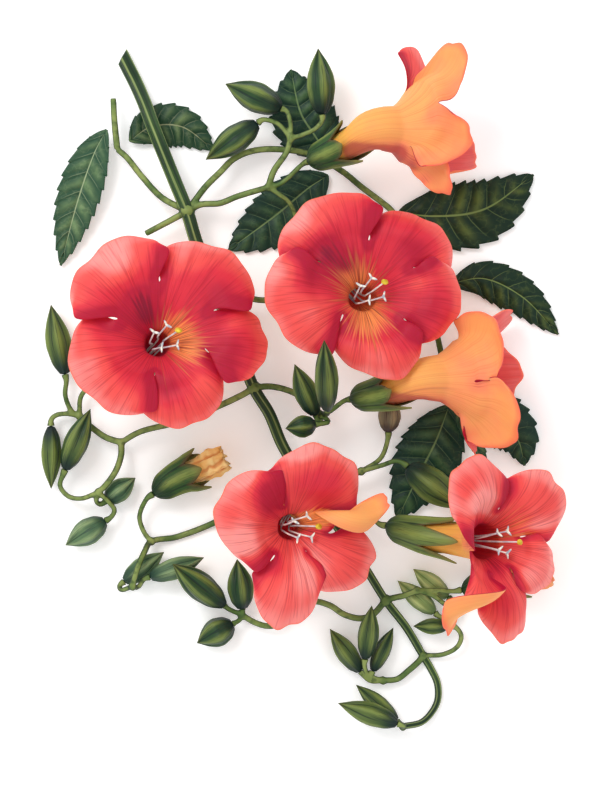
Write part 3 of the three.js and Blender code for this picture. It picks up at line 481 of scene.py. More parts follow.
def applyAll(piece):
    bpy.context.view_layer.objects.active = piece
    for modifier in list(piece.modifiers):
        bpy.ops.object.modifier_apply(modifier=modifier.name)


def sheet(rows, columns, shape, uvOf=None):  # a grid whose points are then put in their places
    deselect()
    bpy.ops.mesh.primitive_grid_add(x_subdivisions=columns, y_subdivisions=rows, size=2)
    grid = bpy.context.object
    shares = [((v.co.x + 1) / 2, (v.co.y + 1) / 2) for v in grid.data.vertices]
    if uvOf is not None:
        layer = grid.data.uv_layers.active.data
        for loop in grid.data.loops:
            layer[loop.index].uv = uvOf(*shares[loop.vertex_index])
    for vertex, (u, v) in zip(grid.data.vertices, shares):
        vertex.co = (shape(u, v) + sprayShift) * mm
    return grid


def joinSheets(parts, materials, weld):  # weld is how near points merge, in mm
    deselect()
    for part in parts:
        part.select_set(True)
        for material in materials:
            part.data.materials.append(material)
    bpy.context.view_layer.objects.active = parts[0]
    if len(parts) > 1:
        bpy.ops.object.join()
    piece = bpy.context.object
    bpy.ops.object.mode_set(mode="EDIT")
    bpy.ops.mesh.select_all(action="SELECT")
    bpy.ops.mesh.remove_doubles(threshold=weld * mm)
    bpy.ops.object.mode_set(mode="OBJECT")
    return piece


def thicken(piece, thickness, backing=0, levels=1):
    wall = piece.modifiers.new("wall", "SOLIDIFY")
    wall.thickness = thickness * mm
    wall.offset = 0
    wall.material_offset = backing
    wall.material_offset_rim = backing
    if levels:
        soft = piece.modifiers.new("soft", "SUBSURF")
        soft.levels = levels
        soft.render_levels = levels
    applyAll(piece)


def finishPiece(piece, name, slotName, node):
    piece.name = name
    piece.data.name = name
    for face in piece.data.polygons:
        face.use_smooth = True
    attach(piece, "root")
    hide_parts(node)


# open flowers

# Places and lengths are in mm, angles in degrees. Sinuses are the angle and reach of each notch
# between two lobes. A lobe is given by its direction, length, half width, how steep it is at its
# tip (and start), how its two edges lift, its twist and its roll. The highlight and shade patches
# are soft spots of painted light on the petals, as seen from above: place from the throat, radius,
# and from a pale painted highlight (-1) over crimson colour with painted shade (1) to a maroon
# painted shadow (2). On the backs the patches above 0 give plum painted shade. Golds are the same
# for the orange light in the throat.
def lobe(toward, length, width, tip, lifts, start=None, twist=0, roll=0):
    return {"toward": toward, "length": length, "width": width, "tip": tip, "lifts": lifts,
            "start": start, "twist": twist, "roll": roll}


flowers = {
    "flower_left": {
        "base": (-73.5, 4.5, 10), "bend": (-63, 9, 22), "throat": (-54, 17, 38),
        "facing": (0.08, 0.12, 1), "zero": (1, 0, 0), "throatRadius": 5, "flare": 9,
        "sinuses": [(89, 22), (152, 17), (265, 11.5), (351, 17.5), (389, 23.5)],
        "lobes": [
            lobe(123, 21.5, 25, -30, (1.7, 1.7)),
            lobe(210, 19.5, 26, -25, (-1.7, 1.7)),
            lobe(296, 20, 21, -30, (-1.7, -1.7)),
            lobe(358, 21, 17.5, -30, (1.7, -1.7)),
            lobe(54, 21, 24, -30, (1.7, -1.7)),
        ],
        "stamenLean": 25,
        "highlightShadePatches": [
            (-15, 31, 9, -1), (-6, 16, 6, 1.3), (-4, 9, 5, 1.2), (26, 18, 8, 0.6),
            (10, 32, 8, -0.6), (25, -9, 8, 0.6), (31, -2, 9, 0.5), (28, 8, 4, -0.6),
            (4, -17, 5, 0.7), (18, -14, 5, -0.5), (-23, -9, 9, -0.6), (-15, 9, 4, 0.8),
            (-32, 14, 6, -0.5), (-10, -22, 6, -0.4),
        ],
        "golds": [(7, 5, 9, 0.9), (12, -4, 7, 0.6)],
    },
    "flower_centre": {
        "base": (1.5, 56.5, 10), "bend": (10, 47, 21), "throat": (23, 34.5, 36.5),
        "facing": (0.1, 0.12, 1), "zero": (1, 0, 0), "throatRadius": 5.5, "flare": 9,
        "sepalReach": 26,
        "sinuses": [(86, 20), (145, 20), (223, 10.5), (328, 17), (389, 20.5)],
        "lobes": [
            lobe(120, 20, 25, -25, (1.7, -1.7)),
            lobe(190, 21, 24, -28, (1.7, 0.4)),
            lobe(283, 19, 20, -34, (-2.4, 1.7)),
            lobe(354, 17.5, 19, -32, (-1.7, 1.7)),
            lobe(46, 19.5, 21, -40, (-1.7, -1.7)),
        ],
        "stamenLean": 30,
        "highlightShadePatches": [
            (-24, 28, 8, -0.8), (-13, 17, 6, 1.3), (-6, 11, 5, 1.2), (-31, 9, 6, -0.6),
            (-19, 9, 6, 0.8), (-18, -6, 8, -0.7), (20, 18, 8, 0.6), (27, -5, 8, 0.6),
            (21, 5, 5, -0.6), (-5, -11, 4, 0.6), (6, -21, 7, -0.5), (18, -14, 6, 0.6),
            (3, 29, 6, 0.4), (31, 13, 4, -0.5),
        ],
        "golds": [(-2, 6, 10, 0.9), (3, -9, 9, 0.9)],
    },
    "flower_lower": {
        "base": (8, -29, 10), "bend": (3.5, -37, 21), "throat": (-4, -52, 35),
        "facing": (0.25, -0.1, 1), "zero": (1, 0, 0), "throatRadius": 5, "flare": 9,
        "opening": 1.75,
        "sinuses": [(112, 9), (232, 12), (300, 9.5), (352, 13), (392, 9.5)],
        "lobes": [
            lobe(160, 23, 21, -40, (1, 1), start=48),
            lobe(262, 27, 15, -25, (-1.6, 1.6)),
            lobe(325, 22.5, 17, -25, (-1.6, -1.6)),
            lobe(39, 24, 7, 0, (1.6, 1.6), roll=140),
            lobe(64, 25, 21, -25, (-1.6, -1.6)),
        ],
        "stamenLean": 10,
        "highlightShadePatches": [
            (-9, 15, 5, 1.3), (-8, 8, 5, 1), (-17, 20, 5, -1), (-17, -5, 7, -0.9),
            (4, 29, 5, -0.9), (6, -15, 8, -0.9), (8, 20, 8, 0.5), (16, 18, 7, 0.5),
            (21, -18, 7, 0.4), (-6, -14, 5, 0.7), (-24, 6, 6, 0.4), (2, -2, 36, -0.6),
        ],
        "golds": [(2, 1.5, 3.5, 1.2), (6, 3, 3, 1.4), (10, 3.5, 3, 1.5), (13, 4, 3, 1.5)],
    },
    "flower_top": {
        "base": (2.5, 86.5, 17), "bend": (18, 92.5, 28), "throat": (35, 97.5, 34),
        "facing": (0.9, 0, -0.38), "zero": (0, 0, 1), "throatRadius": 8.5, "flare": 9,
        "sepalReach": 25.5,
        "sinuses": [(-24, 22), (38, 10.5), (100, 12), (165, 13), (255, 15)],
        "lobes": [
            lobe(14, 16, 12.5, 32, (-1.4, -1.4), start=50),
            lobe(60, 20, 10.5, 30, (1.4, 1.4), start=48, twist=10),
            lobe(140, 33, 19, 108, (1.4, 1.4), start=82),
            lobe(244, 20, 17, 25, (-1.4, -1.4), start=50, twist=40),
            lobe(298, 19.5, 14, 20, (1.4, 1.4), start=38, twist=-10),
        ],
        "stamenLean": 180,
        "highlightShadePatches": [
            (-16, -8, 3.8, 1.5), (-10, -9, 3.8, 1.5), (-4, -9.5, 3.8, 1.5), (2, -9, 3.4, 1.4),
            (7, -13, 3, 0.9), (11, -19, 3, 0.7), (14, 4, 4, 0.5), (6, 14, 9, -0.5),
        ],
        "golds": [],
    },
    "flower_right": {
        "base": (18.5, -4, 20), "bend": (35, -0.5, 29), "throat": (52, 4, 34.5),
        "facing": (0.92, 0.05, -0.33), "zero": (0, 0, 1), "throatRadius": 8.5, "flare": 12,
        "sepalReach": 27,
        "sinuses": [(-85, 13), (8, 14.5), (90, 13), (152, 13), (212, 14)],
        "lobes": [
            lobe(-42, 17, 17, 5, (1.4, -1.4), start=36, twist=-22),
            lobe(50, 21, 19, 36, (1.4, -1.4), start=45),
            lobe(110, 20, 10, 26, (1.4, 1.4), start=34, twist=-30),
            lobe(180, 30, 15, 106, (1.4, 1.4), start=90),
            lobe(232, 32, 18, 62, (-1.4, 1.4), start=70, twist=5),
        ],
        "stamenLean": 180,
        "highlightShadePatches": [
            (-18, -8.5, 3.8, 1.5), (-12, -9.5, 3.8, 1.5), (-6, -10, 3.8, 1.5), (0, -11, 3.4, 1.3),
            (6, -16, 3, 0.8), (9, -22, 3, 0.6), (14, -2, 3, 0.7), (-4, 10, 7, -0.5),
        ],
        "golds": [],
    },
    "flower_low_right": {
        "base": (32, -52, 16), "bend": (51, -56, 24), "throat": (69, -57.5, 33),
        "facing": (0.55, 0, 0.83), "zero": (0, 0, 1), "throatRadius": 7, "flare": 11,
        "sinuses": [(18, 11), (80, 12), (126, 12), (188, 12), (262, 12)],
        "lobes": [
            lobe(79, 26, 10, -5, (1.4, 1.4), start=5, roll=155),
            lobe(96, 26, 13, -15, (-1.4, -1.4), start=35),
            lobe(150, 16, 13, -20, (1.4, 1.4), start=40),
            lobe(220, 23, 18, -15, (-1.4, -1.4), start=40),
            lobe(300, 24, 17, -45, (1.4, 4), start=42),
        ],
        "stamenLean": 180,
        "highlightShadePatches": [
            (-5, 0, 4, 1.6), (0, 15, 6, -1.1), (-3, 6, 4, 1), (-9, 20, 5, 0.6), (9, 20, 4, 0.9),
            (6, -24, 8, 0.5), (24, 16, 6, 0.4), (20, 6, 6, -0.5), (16, -12, 5, -0.5),
            (4, -10, 4, 0.8), (6, 0, 40, -0.65),
        ],
        "golds": [(13, 6, 8, 0.5), (4, 0, 5, 0.6)],
    },
}


class TubeLine:  # where a flower's tube runs, with a frame at every step of its length
    steps = 120

    def __init__(self, flower):
        mouthNormal = Vector(flower["facing"]).normalized()
        lead = Vector(flower["throat"]) - mouthNormal * 8  # the last 8 mm run straight
        self.route = Route([flower["base"], flower["bend"], lead, flower["throat"]])
        self.length = self.route.length
        self.frames = [None] * (self.steps + 1)
        across = Vector(flower["zero"])
        for i in range(self.steps, -1, -1):
            along = mouthNormal
            if i < self.steps:
                along = self.route.direction(self.length * i / self.steps)
            across = (across - along * across.dot(along)).normalized()
            self.frames[i] = (along, across, along.cross(across))
        self.mouth = self.frames[self.steps]

    def at(self, distance, angle, radius):
        share = min(max(distance / self.length, 0), 1)
        along, first, third = self.frames[round(share * self.steps)]
        centre = self.route.at(share * self.length) + along * (distance - share * self.length)
        return around(centre, first, third, math.radians(angle), radius)


tubeLook = {"footRadius": 2.1, "neckRadius": 5.2, "neckFrom": 2, "neckRun": 16, "funnelFrom": 20}


def tubeRadius(distance, length, throatRadius):
    look = tubeLook
    widening = smooth((distance - look["neckFrom"]) / look["neckRun"])
    neck = mix(look["footRadius"], look["neckRadius"], widening)
    funnel = smooth((distance - look["funnelFrom"]) / (length - look["funnelFrom"]))
    return mix(neck, throatRadius, funnel)


corollaLook = {
    "thickness": 0.55,  # mm, before the surface is softened
    "foot": 4.5,  # mm above the base, inside the calyx
    "folding": 0.025,  # how much the tube is folded, as a share of its radius
    "flareReach": 22,
    "tubeShare": 0.6,  # of the rows below the notches
    "notchMark": 0.55,  # where the notches lie on the UV map, tube's foot 0 and rim 1
    "opening": 1.35,  # a lobe is at its full width at 1 / opening of its length
    "rollSpeed": 1.1,
    "twistSpeed": 1.5,
    "liftSpeed": 3,
    "edgeTaper": 0.42,  # how much shorter a lobe is along its two edges
    "cornerInset": 0.19,
    "cornerStart": 0.28,  # where the inset of the corners starts along a lobe
    "edgeLift": 1.35,  # how much more its edges curl than their plain lift
    "taperPower": 2.4,
    "ruffle": 0.8,
    "ruffleWaves": (4.2, 9),  # across a lobe, coarse and fine
    "scallop": 0.035,
    "rimWaves": (7, 13),
    "dome": 2.2,
    "raySpread": 0.0014,  # how much the veins change along their length
    "rows": 22,
    "lobeRows": 18,
    "lobeColumns": 18,
}


class Corolla:
    def __init__(self, flower, seed):
        self.flower = flower
        self.line = TubeLine(flower)
        self.along, self.across, self.third = self.line.mouth
        self.middle = Vector(flower["throat"])
        dice = random.Random(seed)
        self.waves = [[dice.uniform(0, 6.28) for _ in range(4)] for _ in flower["lobes"]]

    def column(self, place):  # angle and reach of the notch ring, place counts the lobes
        sinuses = self.flower["sinuses"]
        i = min(int(place), lobeCount - 1)
        share = place - i
        startAngle, startReach = sinuses[i]
        endAngle, endReach = sinuses[(i + 1) % lobeCount]
        if endAngle < startAngle:
            endAngle += 360
        reach = mix(startReach, endReach, share) + math.sin(math.pi * share)
        return mix(startAngle, endAngle, share), reach

    def spread(self, reach):
        low = self.flower["throatRadius"]
        return (reach - low) / (corollaLook["flareReach"] - low)

    def limbPoint(self, angle, reach):
        height = self.flower["flare"] * (1 - (1 - self.spread(reach)) ** 2)
        centre = self.middle + self.along * height
        return around(centre, self.across, self.third, math.radians(angle), reach)

    def tubePoint(self, u, v):
        angle, reach = self.column(u * lobeCount)
        low = self.flower["throatRadius"]
        tubeShare = corollaLook["tubeShare"]
        folding = corollaLook["folding"] * math.cos(math.radians(angle) * lobeCount)
        if v <= tubeShare:
            distance = mix(corollaLook["foot"], self.line.length, v / tubeShare)
            radius = tubeRadius(distance, self.line.length, low) * (1 + folding)
            return self.line.at(distance, angle, radius)
        share = (v - tubeShare) / (1 - tubeShare)
        return self.limbPoint(angle, mix(low * (1 + folding * (1 - share)), reach, share))

    def lobePoint(self, i, u, v):
        look = corollaLook
        lobe = self.flower["lobes"][i]
        waves = self.waves[i]
        w = u * 2 - 1  # -1 and 1 at the two edges, 0 along the middle
        toward = math.radians(lobe["toward"])
        outward = self.across * math.cos(toward) + self.third * math.sin(toward)
        sideways = self.along.cross(outward)
        angle, reach = self.column(i + min(u, 0.999999))
        start = self.limbPoint(angle, reach) - self.middle
        corner = self.limbPoint(*self.column(i)) - self.middle

        run = look["flareReach"] - self.flower["throatRadius"]
        begin = math.atan2(2 * self.flower["flare"] * (1 - self.spread(reach)), run)
        if lobe["start"] is not None:
            begin = math.radians(lobe["start"])
        change = math.radians(lobe["tip"]) - begin
        now = begin + change * v

        coarse, fine = look["rimWaves"]
        rimWave = math.sin(coarse * w + waves[0]) + 0.6 * math.sin(fine * w + waves[1])
        length = lobe["length"] * (1 - look["edgeTaper"] * abs(w) ** look["taperPower"])
        length *= 1 + look["scallop"] * rimWave * v ** 3
        forward = (math.sin(now) - math.sin(begin)) / change * length
        rise = (math.cos(begin) - math.cos(now)) / change * length

        inset = smooth((v - look["cornerStart"]) / (1 - look["cornerStart"]))
        share = smooth(v * self.flower.get("opening", look["opening"]))
        lateral = mix(start.dot(sideways), w * lobe["width"], share)
        lateral *= 1 - look["cornerInset"] * inset * abs(w) ** 3
        hinge = mix(corner.dot(sideways), -lobe["width"], share) * (1 - 0.1 * v)
        arm = lateral - hinge
        roll = math.radians(lobe["roll"]) * smooth(v * look["rollSpeed"])
        twist = math.radians(lobe["twist"]) * smooth(v * look["twistSpeed"])

        edge = lobe["lifts"][0 if w < 0 else 1] * abs(w) ** 1.5 * look["edgeLift"]
        ruffle = look["ruffle"] * v ** 2.5 * (0.3 + 0.7 * abs(w))
        coarse, fine = look["ruffleWaves"]
        ruffle *= math.sin(coarse * w + waves[2]) + 0.4 * math.sin(fine * w + waves[3])
        dome = look["dome"] * (1 - w * w) * math.sin(math.pi * min(v * 1.15, 1))
        raised = smooth(v * look["liftSpeed"])
        lift = edge * raised + arm * math.sin(roll) - lateral * math.sin(twist)
        lift += (ruffle + dome) * raised
        aside = hinge + arm * math.cos(roll) - lateral * (1 - math.cos(twist))
        point = outward * (start.dot(outward) + forward - lift * math.sin(now))
        point += self.along * (start.dot(self.along) + rise + lift * math.cos(now))
        return self.middle + point + sideways * aside


def paintPatches(piece, layerName, throat, patches):  # soft spots, kept on the points
    layer = piece.data.attributes.new(layerName, "FLOAT", "POINT")
    for vertex, value in zip(piece.data.vertices, layer.data):
        place = vertex.co / mm - sprayShift - Vector(throat)
        value.value = sum(
            amount * math.exp(-((place.x - x) ** 2 + (place.y - y) ** 2) / radius ** 2)
            for x, y, radius, amount in patches
        )


def paintRays(piece, shape):  # for every point, the way it lies from the middle of the throat
    layer = piece.data.attributes.new("ray", "FLOAT_VECTOR", "POINT")
    for vertex, value in zip(piece.data.vertices, layer.data):
        place = vertex.co / mm - sprayShift - shape.middle
        flat = Vector((place.dot(shape.across), place.dot(shape.third), 0))
        value.vector = flat.normalized() + Vector((0, 0, flat.length * corollaLook["raySpread"]))


def makeCorolla(name, flower, inside, outside):
    look = corollaLook
    shape = Corolla(flower, name)
    columns = look["lobeColumns"]
    mark = look["notchMark"]
    parts = [sheet(look["rows"], columns * lobeCount, shape.tubePoint, lambda u, v: (u, v * mark))]
    for i in range(lobeCount):
        parts.append(sheet(
            look["lobeRows"], columns,
            lambda u, v, i=i: shape.lobePoint(i, u, v),
            lambda u, v, i=i: ((i + u) / lobeCount, mark + (1 - mark) * v),
        ))
    piece = joinSheets(parts, [outside, inside], 0.02)
    thicken(piece, look["thickness"], backing=1)
    # painted highlight and painted shade, laid on as soft patches
    paintPatches(piece, "shade", flower["throat"], flower["highlightShadePatches"])
    paintPatches(piece, "gold", flower["throat"], flower["golds"])
    paintRays(piece, shape)
    finishPiece(piece, name.replace("_", "") + "Corolla", "petal", name + "_corolla")


calyxLook = {
    "thickness": 0.7,
    "cup": [(0.5, 0), (1.6, 2.6), (5, 4.95), (16, 6.8)],  # distance and radius, to where it parts
    "sepal": [(7, 2.2, 7.1), (0, 3.1, 7.6)],  # distance to its tip, gap to the tube, least radius
    "softening": 0.9,
    "softFrom": 2.2,
    "sepalReach": 31,  # how far their tips reach, where a flower doesn't say
    "tipGap": 6.5,  # the least from a tip to the throat
    "sepalPower": 0.85,  # below 1 the sepals are rounded
    "ribHeight": 0.28,
    "fineRibs": 15,
    "fineHeight": 0.12,
    "rows": 24,
    "columns": 60,
}


def calyxPoint(line, flower, u, v):
    look = calyxLook
    half = 180 / sepalCount
    aside = abs((u * 360 + half) % (2 * half) - half)  # degrees from the middle of a sepal
    tipAt = min(flower.get("sepalReach", look["sepalReach"]), line.length - look["tipGap"])
    rimAt = look["cup"][-1][0]
    edgeAt = rimAt + (tipAt - rimAt) * (1 - aside / half) ** look["sepalPower"]
    distance = mix(look["cup"][0][0], edgeAt, v)
    throat = flower.get("throatRadius", 5)
    stops = list(look["cup"])
    for toTip, gap, least in look["sepal"]:
        tube = tubeRadius(tipAt - toTip, line.length, throat)
        stops.append((tipAt - toTip, max(tube + gap, least)))
    radius = throughStops(stops, distance)
    if distance > look["softFrom"]:
        radius = softStops(stops, distance, look["softening"])
    radius += look["ribHeight"] * math.cos(math.pi * aside / half) * smooth(distance / 5)
    radius += look["fineHeight"] * math.cos(u * look["fineRibs"] * math.pi * 2)
    return line.at(distance, u * 360, radius)


def makeCalyx(name, flower, material):
    line = TubeLine(flower)
    look = calyxLook
    grid = sheet(look["rows"], look["columns"], lambda u, v: calyxPoint(line, flower, u, v))
    piece = joinSheets([grid], [material], 0.01)
    thicken(piece, look["thickness"])
    finishPiece(piece, name.replace("_", "") + "Calyx", "calyx", name + "_calyx")


# stamens and style

stamenLook = {
    "threads": [(-60, 7.5, 5), (60, 7, 5.5), (-150, 3, 7), (150, 3.5, 6.5)],  # angle, reach, end
    "style": (0, 8.5, 8.5),
    "spread": 1.3,  # how far the threads part, against these reaches and ends
    "filament": 0.33,
    "ovary": 1.15,
    "anther": (0.4, 0.5, 1.6),
    "stigma": (1.5, 1.1, 0.8),
}


def tubeAlong(route, radii, sides, count, twist=0.0):  # a closed tube along a smooth path
    length = route.length
    frames = []
    along = route.direction(0)
    side = along.orthogonal() if abs(along.z) > 0.9 else along.cross(Vector((0, 0, 1)))
    side.normalize()
    for i in range(count + 1):
        along = route.direction(length * i / count)
        side = (side - along * side.dot(along)).normalized()
        frames.append((side, side.cross(along)))

    def place(u, v):
        turn = u * 2 * math.pi + twist * v
        return around(route.at(length * v), *frames[round(v * count)], turn, radii(v, turn))
    return sheet(count, sides, place)


def capEnds(piece):  # fills the open rings of tubes
    deselect()
    piece.select_set(True)
    bpy.context.view_layer.objects.active = piece
    bpy.ops.object.mode_set(mode="EDIT")
    bpy.ops.mesh.select_all(action="DESELECT")
    bpy.ops.mesh.select_non_manifold(extend=False, use_wire=False, use_multi_face=False,
                                     use_non_contiguous=False, use_verts=False)
    bpy.ops.mesh.edge_face_add()
    bpy.ops.mesh.select_all(action="SELECT")
    bpy.ops.mesh.normals_make_consistent(inside=False)
    bpy.ops.object.mode_set(mode="OBJECT")


def bead(centre, size, turn, slot=1):  # a small egg, turned so that its Z runs along the turn
    deselect()
    bpy.ops.mesh.primitive_uv_sphere_add(segments=14, ring_count=9, radius=1)
    egg = bpy.context.object
    spin = Vector((0, 0, 1)).rotation_difference(turn)
    for vertex in egg.data.vertices:
        vertex.co = Vector(a * b for a, b in zip(vertex.co, size))
        vertex.co.rotate(spin)
        vertex.co = (vertex.co + centre + sprayShift) * mm
    for face in egg.data.polygons:
        face.material_index = slot
    return egg


def makeStamens(name, flower):
    look = stamenLook
    line = TubeLine(flower)
    up = line.mouth[0]
    ovary = Route([line.at(3.2, 0, 0), line.at(5.6, 0, 0), line.at(8, 0, 0)], 20)
    parts = [tubeAlong(ovary, lambda v, turn: look["ovary"] - 0.15 * v, 10, 6)]
    for angle, reach, end in look["threads"] + [look["style"]]:
        turned = flower["stamenLean"] + angle
        top = line.at(line.length + end * look["spread"], flower["stamenLean"] + angle * 0.6,
                      reach * 0.75 * look["spread"])
        middle = mix(24, line.length, 0.5)
        route = Route([line.at(7, 0, 0), line.at(18, turned, 1.5), line.at(middle, turned, 2),
                       line.at(line.length, turned, 2.8), top])
        parts.append(tubeAlong(route, lambda v, turn: look["filament"] * (1.25 - 0.35 * v), 8, 30))
        lead = route.direction(route.length)
        if (angle, reach, end) == look["style"]:  # it ends in two small flaps
            tilted = (lead + up.orthogonal() * 0.5).normalized()
            parts.append(bead(top, look["stigma"], lead, 2))
            parts.append(bead(top + up * 0.5, look["stigma"], tilted, 2))
        else:
            aside = lead.cross(up).normalized() if lead.cross(up).length > 0.05 else up.orthogonal()
            for sign in (-1, 1):
                parting = (aside * sign + lead * 0.5).normalized()
                parts.append(bead(top + parting * 0.7, look["anther"], parting))
    piece = joinSheets(parts, [filamentFinish, antherFinish, stigmaFinish], 0.005)
    capEnds(piece)
    finishPiece(piece, name.replace("_", "") + "Stamens", "stamen", name + "_stamens")


inside = petalInside("petalInside")
outside = petalOutside("petalOutside")
for name, flower in flowers.items():
    makeCorolla(name, flower, inside, outside)
    makeCalyx(name, flower, greens["calyx"])
    makeStamens(name, flower)
print("open flowers made")


# flowers that are only opening

openingFlowers = {
    "opening_flower": {
        "base": (-57, -40.5, 8), "bend": (-47, -34, 8.5), "throat": (-31, -27, 9.5),
        "facing": (0.9, 0.42, 0.1), "zero": (0, 0, 1),
    },
    "half_open_bud": {
        "base": (61, -77, 8.8), "bend": (77, -74, 8.8), "throat": (94, -70.5, 8.5),
        "facing": (0.98, 0.15, 0), "zero": (0, 0, 1),
    },
}
rolledLook = {
    "folds": 7,
    "slant": 2.2,  # how far the folds turn on their way up, in radians
    "foldDepth": 0.9,
    "crumple": 0.9,
    "foldsFrom": 18,  # mm up
    "foldsRun": 8,  # mm from there until they have their full depth
    "turnsIn": 0.86,  # the share of the way up where the top turns in
    "dip": 1.8,
    "foot": 3,
    "topGap": 2.2,
    "rows": 44,
    "columns": 84,
}
noise.seed_set(7)  # every run crumples them in the same way


def youngPetalFinish(name, *colours):  # crumpled: two for its clouds, a darker one for its folds
    low, high, fold = (shade(*colour) for colour in colours)
    material = startFinish(name)
    across, along = surfacePlace()
    turn = across * (2 * math.pi * rolledLook["folds"]) + along * rolledLook["slant"]
    folds = Wire.maths("COSINE", turn)
    fine = streaks(across, along, 90, 2.0, 2.0)
    clouds = grain(objectPlace(), 160)
    colour = blend(ease(clouds, 0.3, 0.7), low, high)
    colour = blend(ease(folds, -0.2, -1.0) * ease(along, 0.3, 0.6) * 0.7, colour, fold)
    colour = blend(ease(fine, 0.54, 0.7) * 0.5, colour, fold)
    return closeFinish(material, colour, 0.6, fine, 0.15, Specular_IOR_Level=0.2)


youngPetals = {
    "opening_flower": youngPetalFinish("crumpledPetal", (246, 186, 100), (255, 226, 158),
                                       (212, 124, 56)),
    "half_open_bud": youngPetalFinish("rolledPetal", (236, 128, 78), (248, 178, 124),
                                      (212, 84, 70)),
}


def rolledPoint(line, u, v):
    look = rolledLook
    end = line.length + look["topGap"]
    distance = mix(look["foot"], end, min(v / look["turnsIn"], 1))
    stops = [(look["foot"], 2), (9, 3.8), (20, 4.7), (line.length - 2, 5.0), (end, 4.2)]
    radius = throughStops(stops, distance)
    late = smooth((distance - look["foldsFrom"]) / look["foldsRun"])
    wave = math.cos(u * 2 * math.pi * look["folds"] + look["slant"] * v)
    radius += look["foldDepth"] * late * wave
    if v > look["turnsIn"]:
        inward = (v - look["turnsIn"]) / (1 - look["turnsIn"])
        radius *= 1 - inward
        distance -= look["dip"] * math.sin(inward * math.pi) - 0.6 * wave * (1 - inward)
    point = line.at(distance, u * 360, radius)
    if late > 0 and radius > 0.1:
        point += noise.noise_vector(point * 0.5) * (look["crumple"] * late)
    return point


def makeRolled(name, flower):
    line = TubeLine(flower)
    look = rolledLook
    grid = sheet(look["rows"], look["columns"], lambda u, v: rolledPoint(line, u, v))
    piece = joinSheets([grid], [youngPetals[name]], 0.01)
    capEnds(piece)
    finishPiece(piece, name.replace("_", "") + "Corolla", "opening_petal", name + "_corolla")


for name, flower in openingFlowers.items():
    makeRolled(name, flower)
    makeCalyx(name, flower, greens["calyx"])
print("opening flowers made")


# closed buds

buds = {  # base, tip, greatest width, and the finish where it isn't the plain bud's
    "bud_01": ((-7.5, 107, 13.5), (-29, 116.5, 14), 11.4),
    "bud_02": ((-16.5, 101.5, 14), (-36.5, 87.5, 13), 10.6),
    "bud_03": ((8, 104.5, 15), (6.5, 130, 15), 11),
    "bud_04": ((-90.5, 5.5, 6), (-96, 32.5, 6), 9.8),
    "bud_05": ((-96, -14, 5), (-96, -38.5, 4.6), 8),
    "bud_06": ((-90.5, -31, 7), (-80.5, -7.5, 11), 9.5),
    "bud_07": ((-75, -43, 5), (-63.5, -34, 5), 8.6, "softBud"),
    "bud_08": ((-75, -50.5, 6), (-90.5, -60, 5.6), 10, "softBud"),
    "bud_09": ((-68, -74, 4.8), (-52.5, -62.5, 4.4), 8.4, "softBud"),
    "bud_10": ((-58, -72, 9), (-37, -64.5, 8), 8.4, "softBud"),
    "bud_11": ((-29.5, -83, 6.5), (-49, -66.5, 18), 11),
    "bud_12": ((-26, -90, 6), (-40, -97.5, 6), 11),
    "bud_13": ((-22.5, -84.5, 6), (-24.5, -65, 9), 10),
    "bud_14": ((24.5, -103.5, 8.5), (27, -82.5, 14), 8),
    "bud_15": ((23, -108.5, 5), (11, -92, 5), 8),
    "bud_16": ((27.5, -108.5, 4.5), (35.5, -91.5, 4), 6.4),
    "bud_17": ((37, -127.5, 4), (21, -113.5, 4), 7),
    "bud_18": ((37, -128, 12), (14, -120, 12), 8.8),
    "bud_19": ((51.5, -86, 4.5), (37, -73.5, 4.2), 7.6, "paleBud"),
    "bud_20": ((56.5, -80, 4.6), (43, -69, 4), 7.6, "paleBud"),
    "bud_21": ((56.5, -91, 6), (43, -91, 5.5), 6.2),
    "bud_22": ((40.5, -29.5, 13), (62.5, -46, 13), 12.6),
    "bud_23": ((33.5, -16.5, 6), (34, -2.5, 9), 9, "dryBud"),
    "bud_24": ((10, -8, 27.5), (8.5, 18, 66), 9),
    "bud_25": ((5.5, -10, 18), (-2.5, 9.5, 24), 9),
    "bud_26": ((5.5, -13.5, 19), (-6, -15, 22), 8.6),
}
budLook = {
    "outline": [(0, 0.3), (0.16, 0.78), (0.42, 1), (0.6, 0.9), (0.78, 0.58), (0.92, 0.2), (1, 0)],
    "softening": 0.05,  # how far the outline's corners are rounded
    "ribHeight": 0.07,
    "grooveDepth": 0.3,  # between the ribs, towards the tip
    "fineRibs": 11,
    "fineHeight": 0.02,
    "rows": 40,
    "columns": 50,
}


def budPoint(start, along, width, seed, u, v):
    look = budLook
    angle = u * 2 * math.pi
    nearEnd = min(v, 1 - v) <= 0.06
    swell = throughStops(look["outline"], v) if nearEnd else \
        softStops(look["outline"], v, look["softening"])
    if v == 0:
        swell = 0
    ribs = math.cos(sepalCount * angle)
    groove = smooth((v - 0.45) / 0.5) * max(-ribs, 0) ** 2
    radius = width / 2 * swell * (1 + look["ribHeight"] * ribs - look["grooveDepth"] * groove)
    radius *= 1 + look["fineHeight"] * math.cos(look["fineRibs"] * angle + seed)
    ring = Vector((radius * math.cos(angle), radius * math.sin(angle), v * along.length))
    ring.rotate(Vector((0, 0, 1)).rotation_difference(along.normalized()))
    return start + ring


def makeBud(name, seed, base, tip, width, finish="bud"):
    start = Vector(base)
    along = Vector(tip) - start
    grid = sheet(budLook["rows"], budLook["columns"],
                 lambda u, v: budPoint(start, along, width, seed, u, v))
    piece = joinSheets([grid], [greens[finish]], 0.01)
    finishPiece(piece, name.replace("_", ""), "pale_bud" if finish == "paleBud" else "bud", name)


for seed, (name, bud) in enumerate(buds.items()):
    makeBud(name, seed, *bud)
print("buds made")


# leaflets: the midrib's route, half widths left and right of it, and how the edges hang

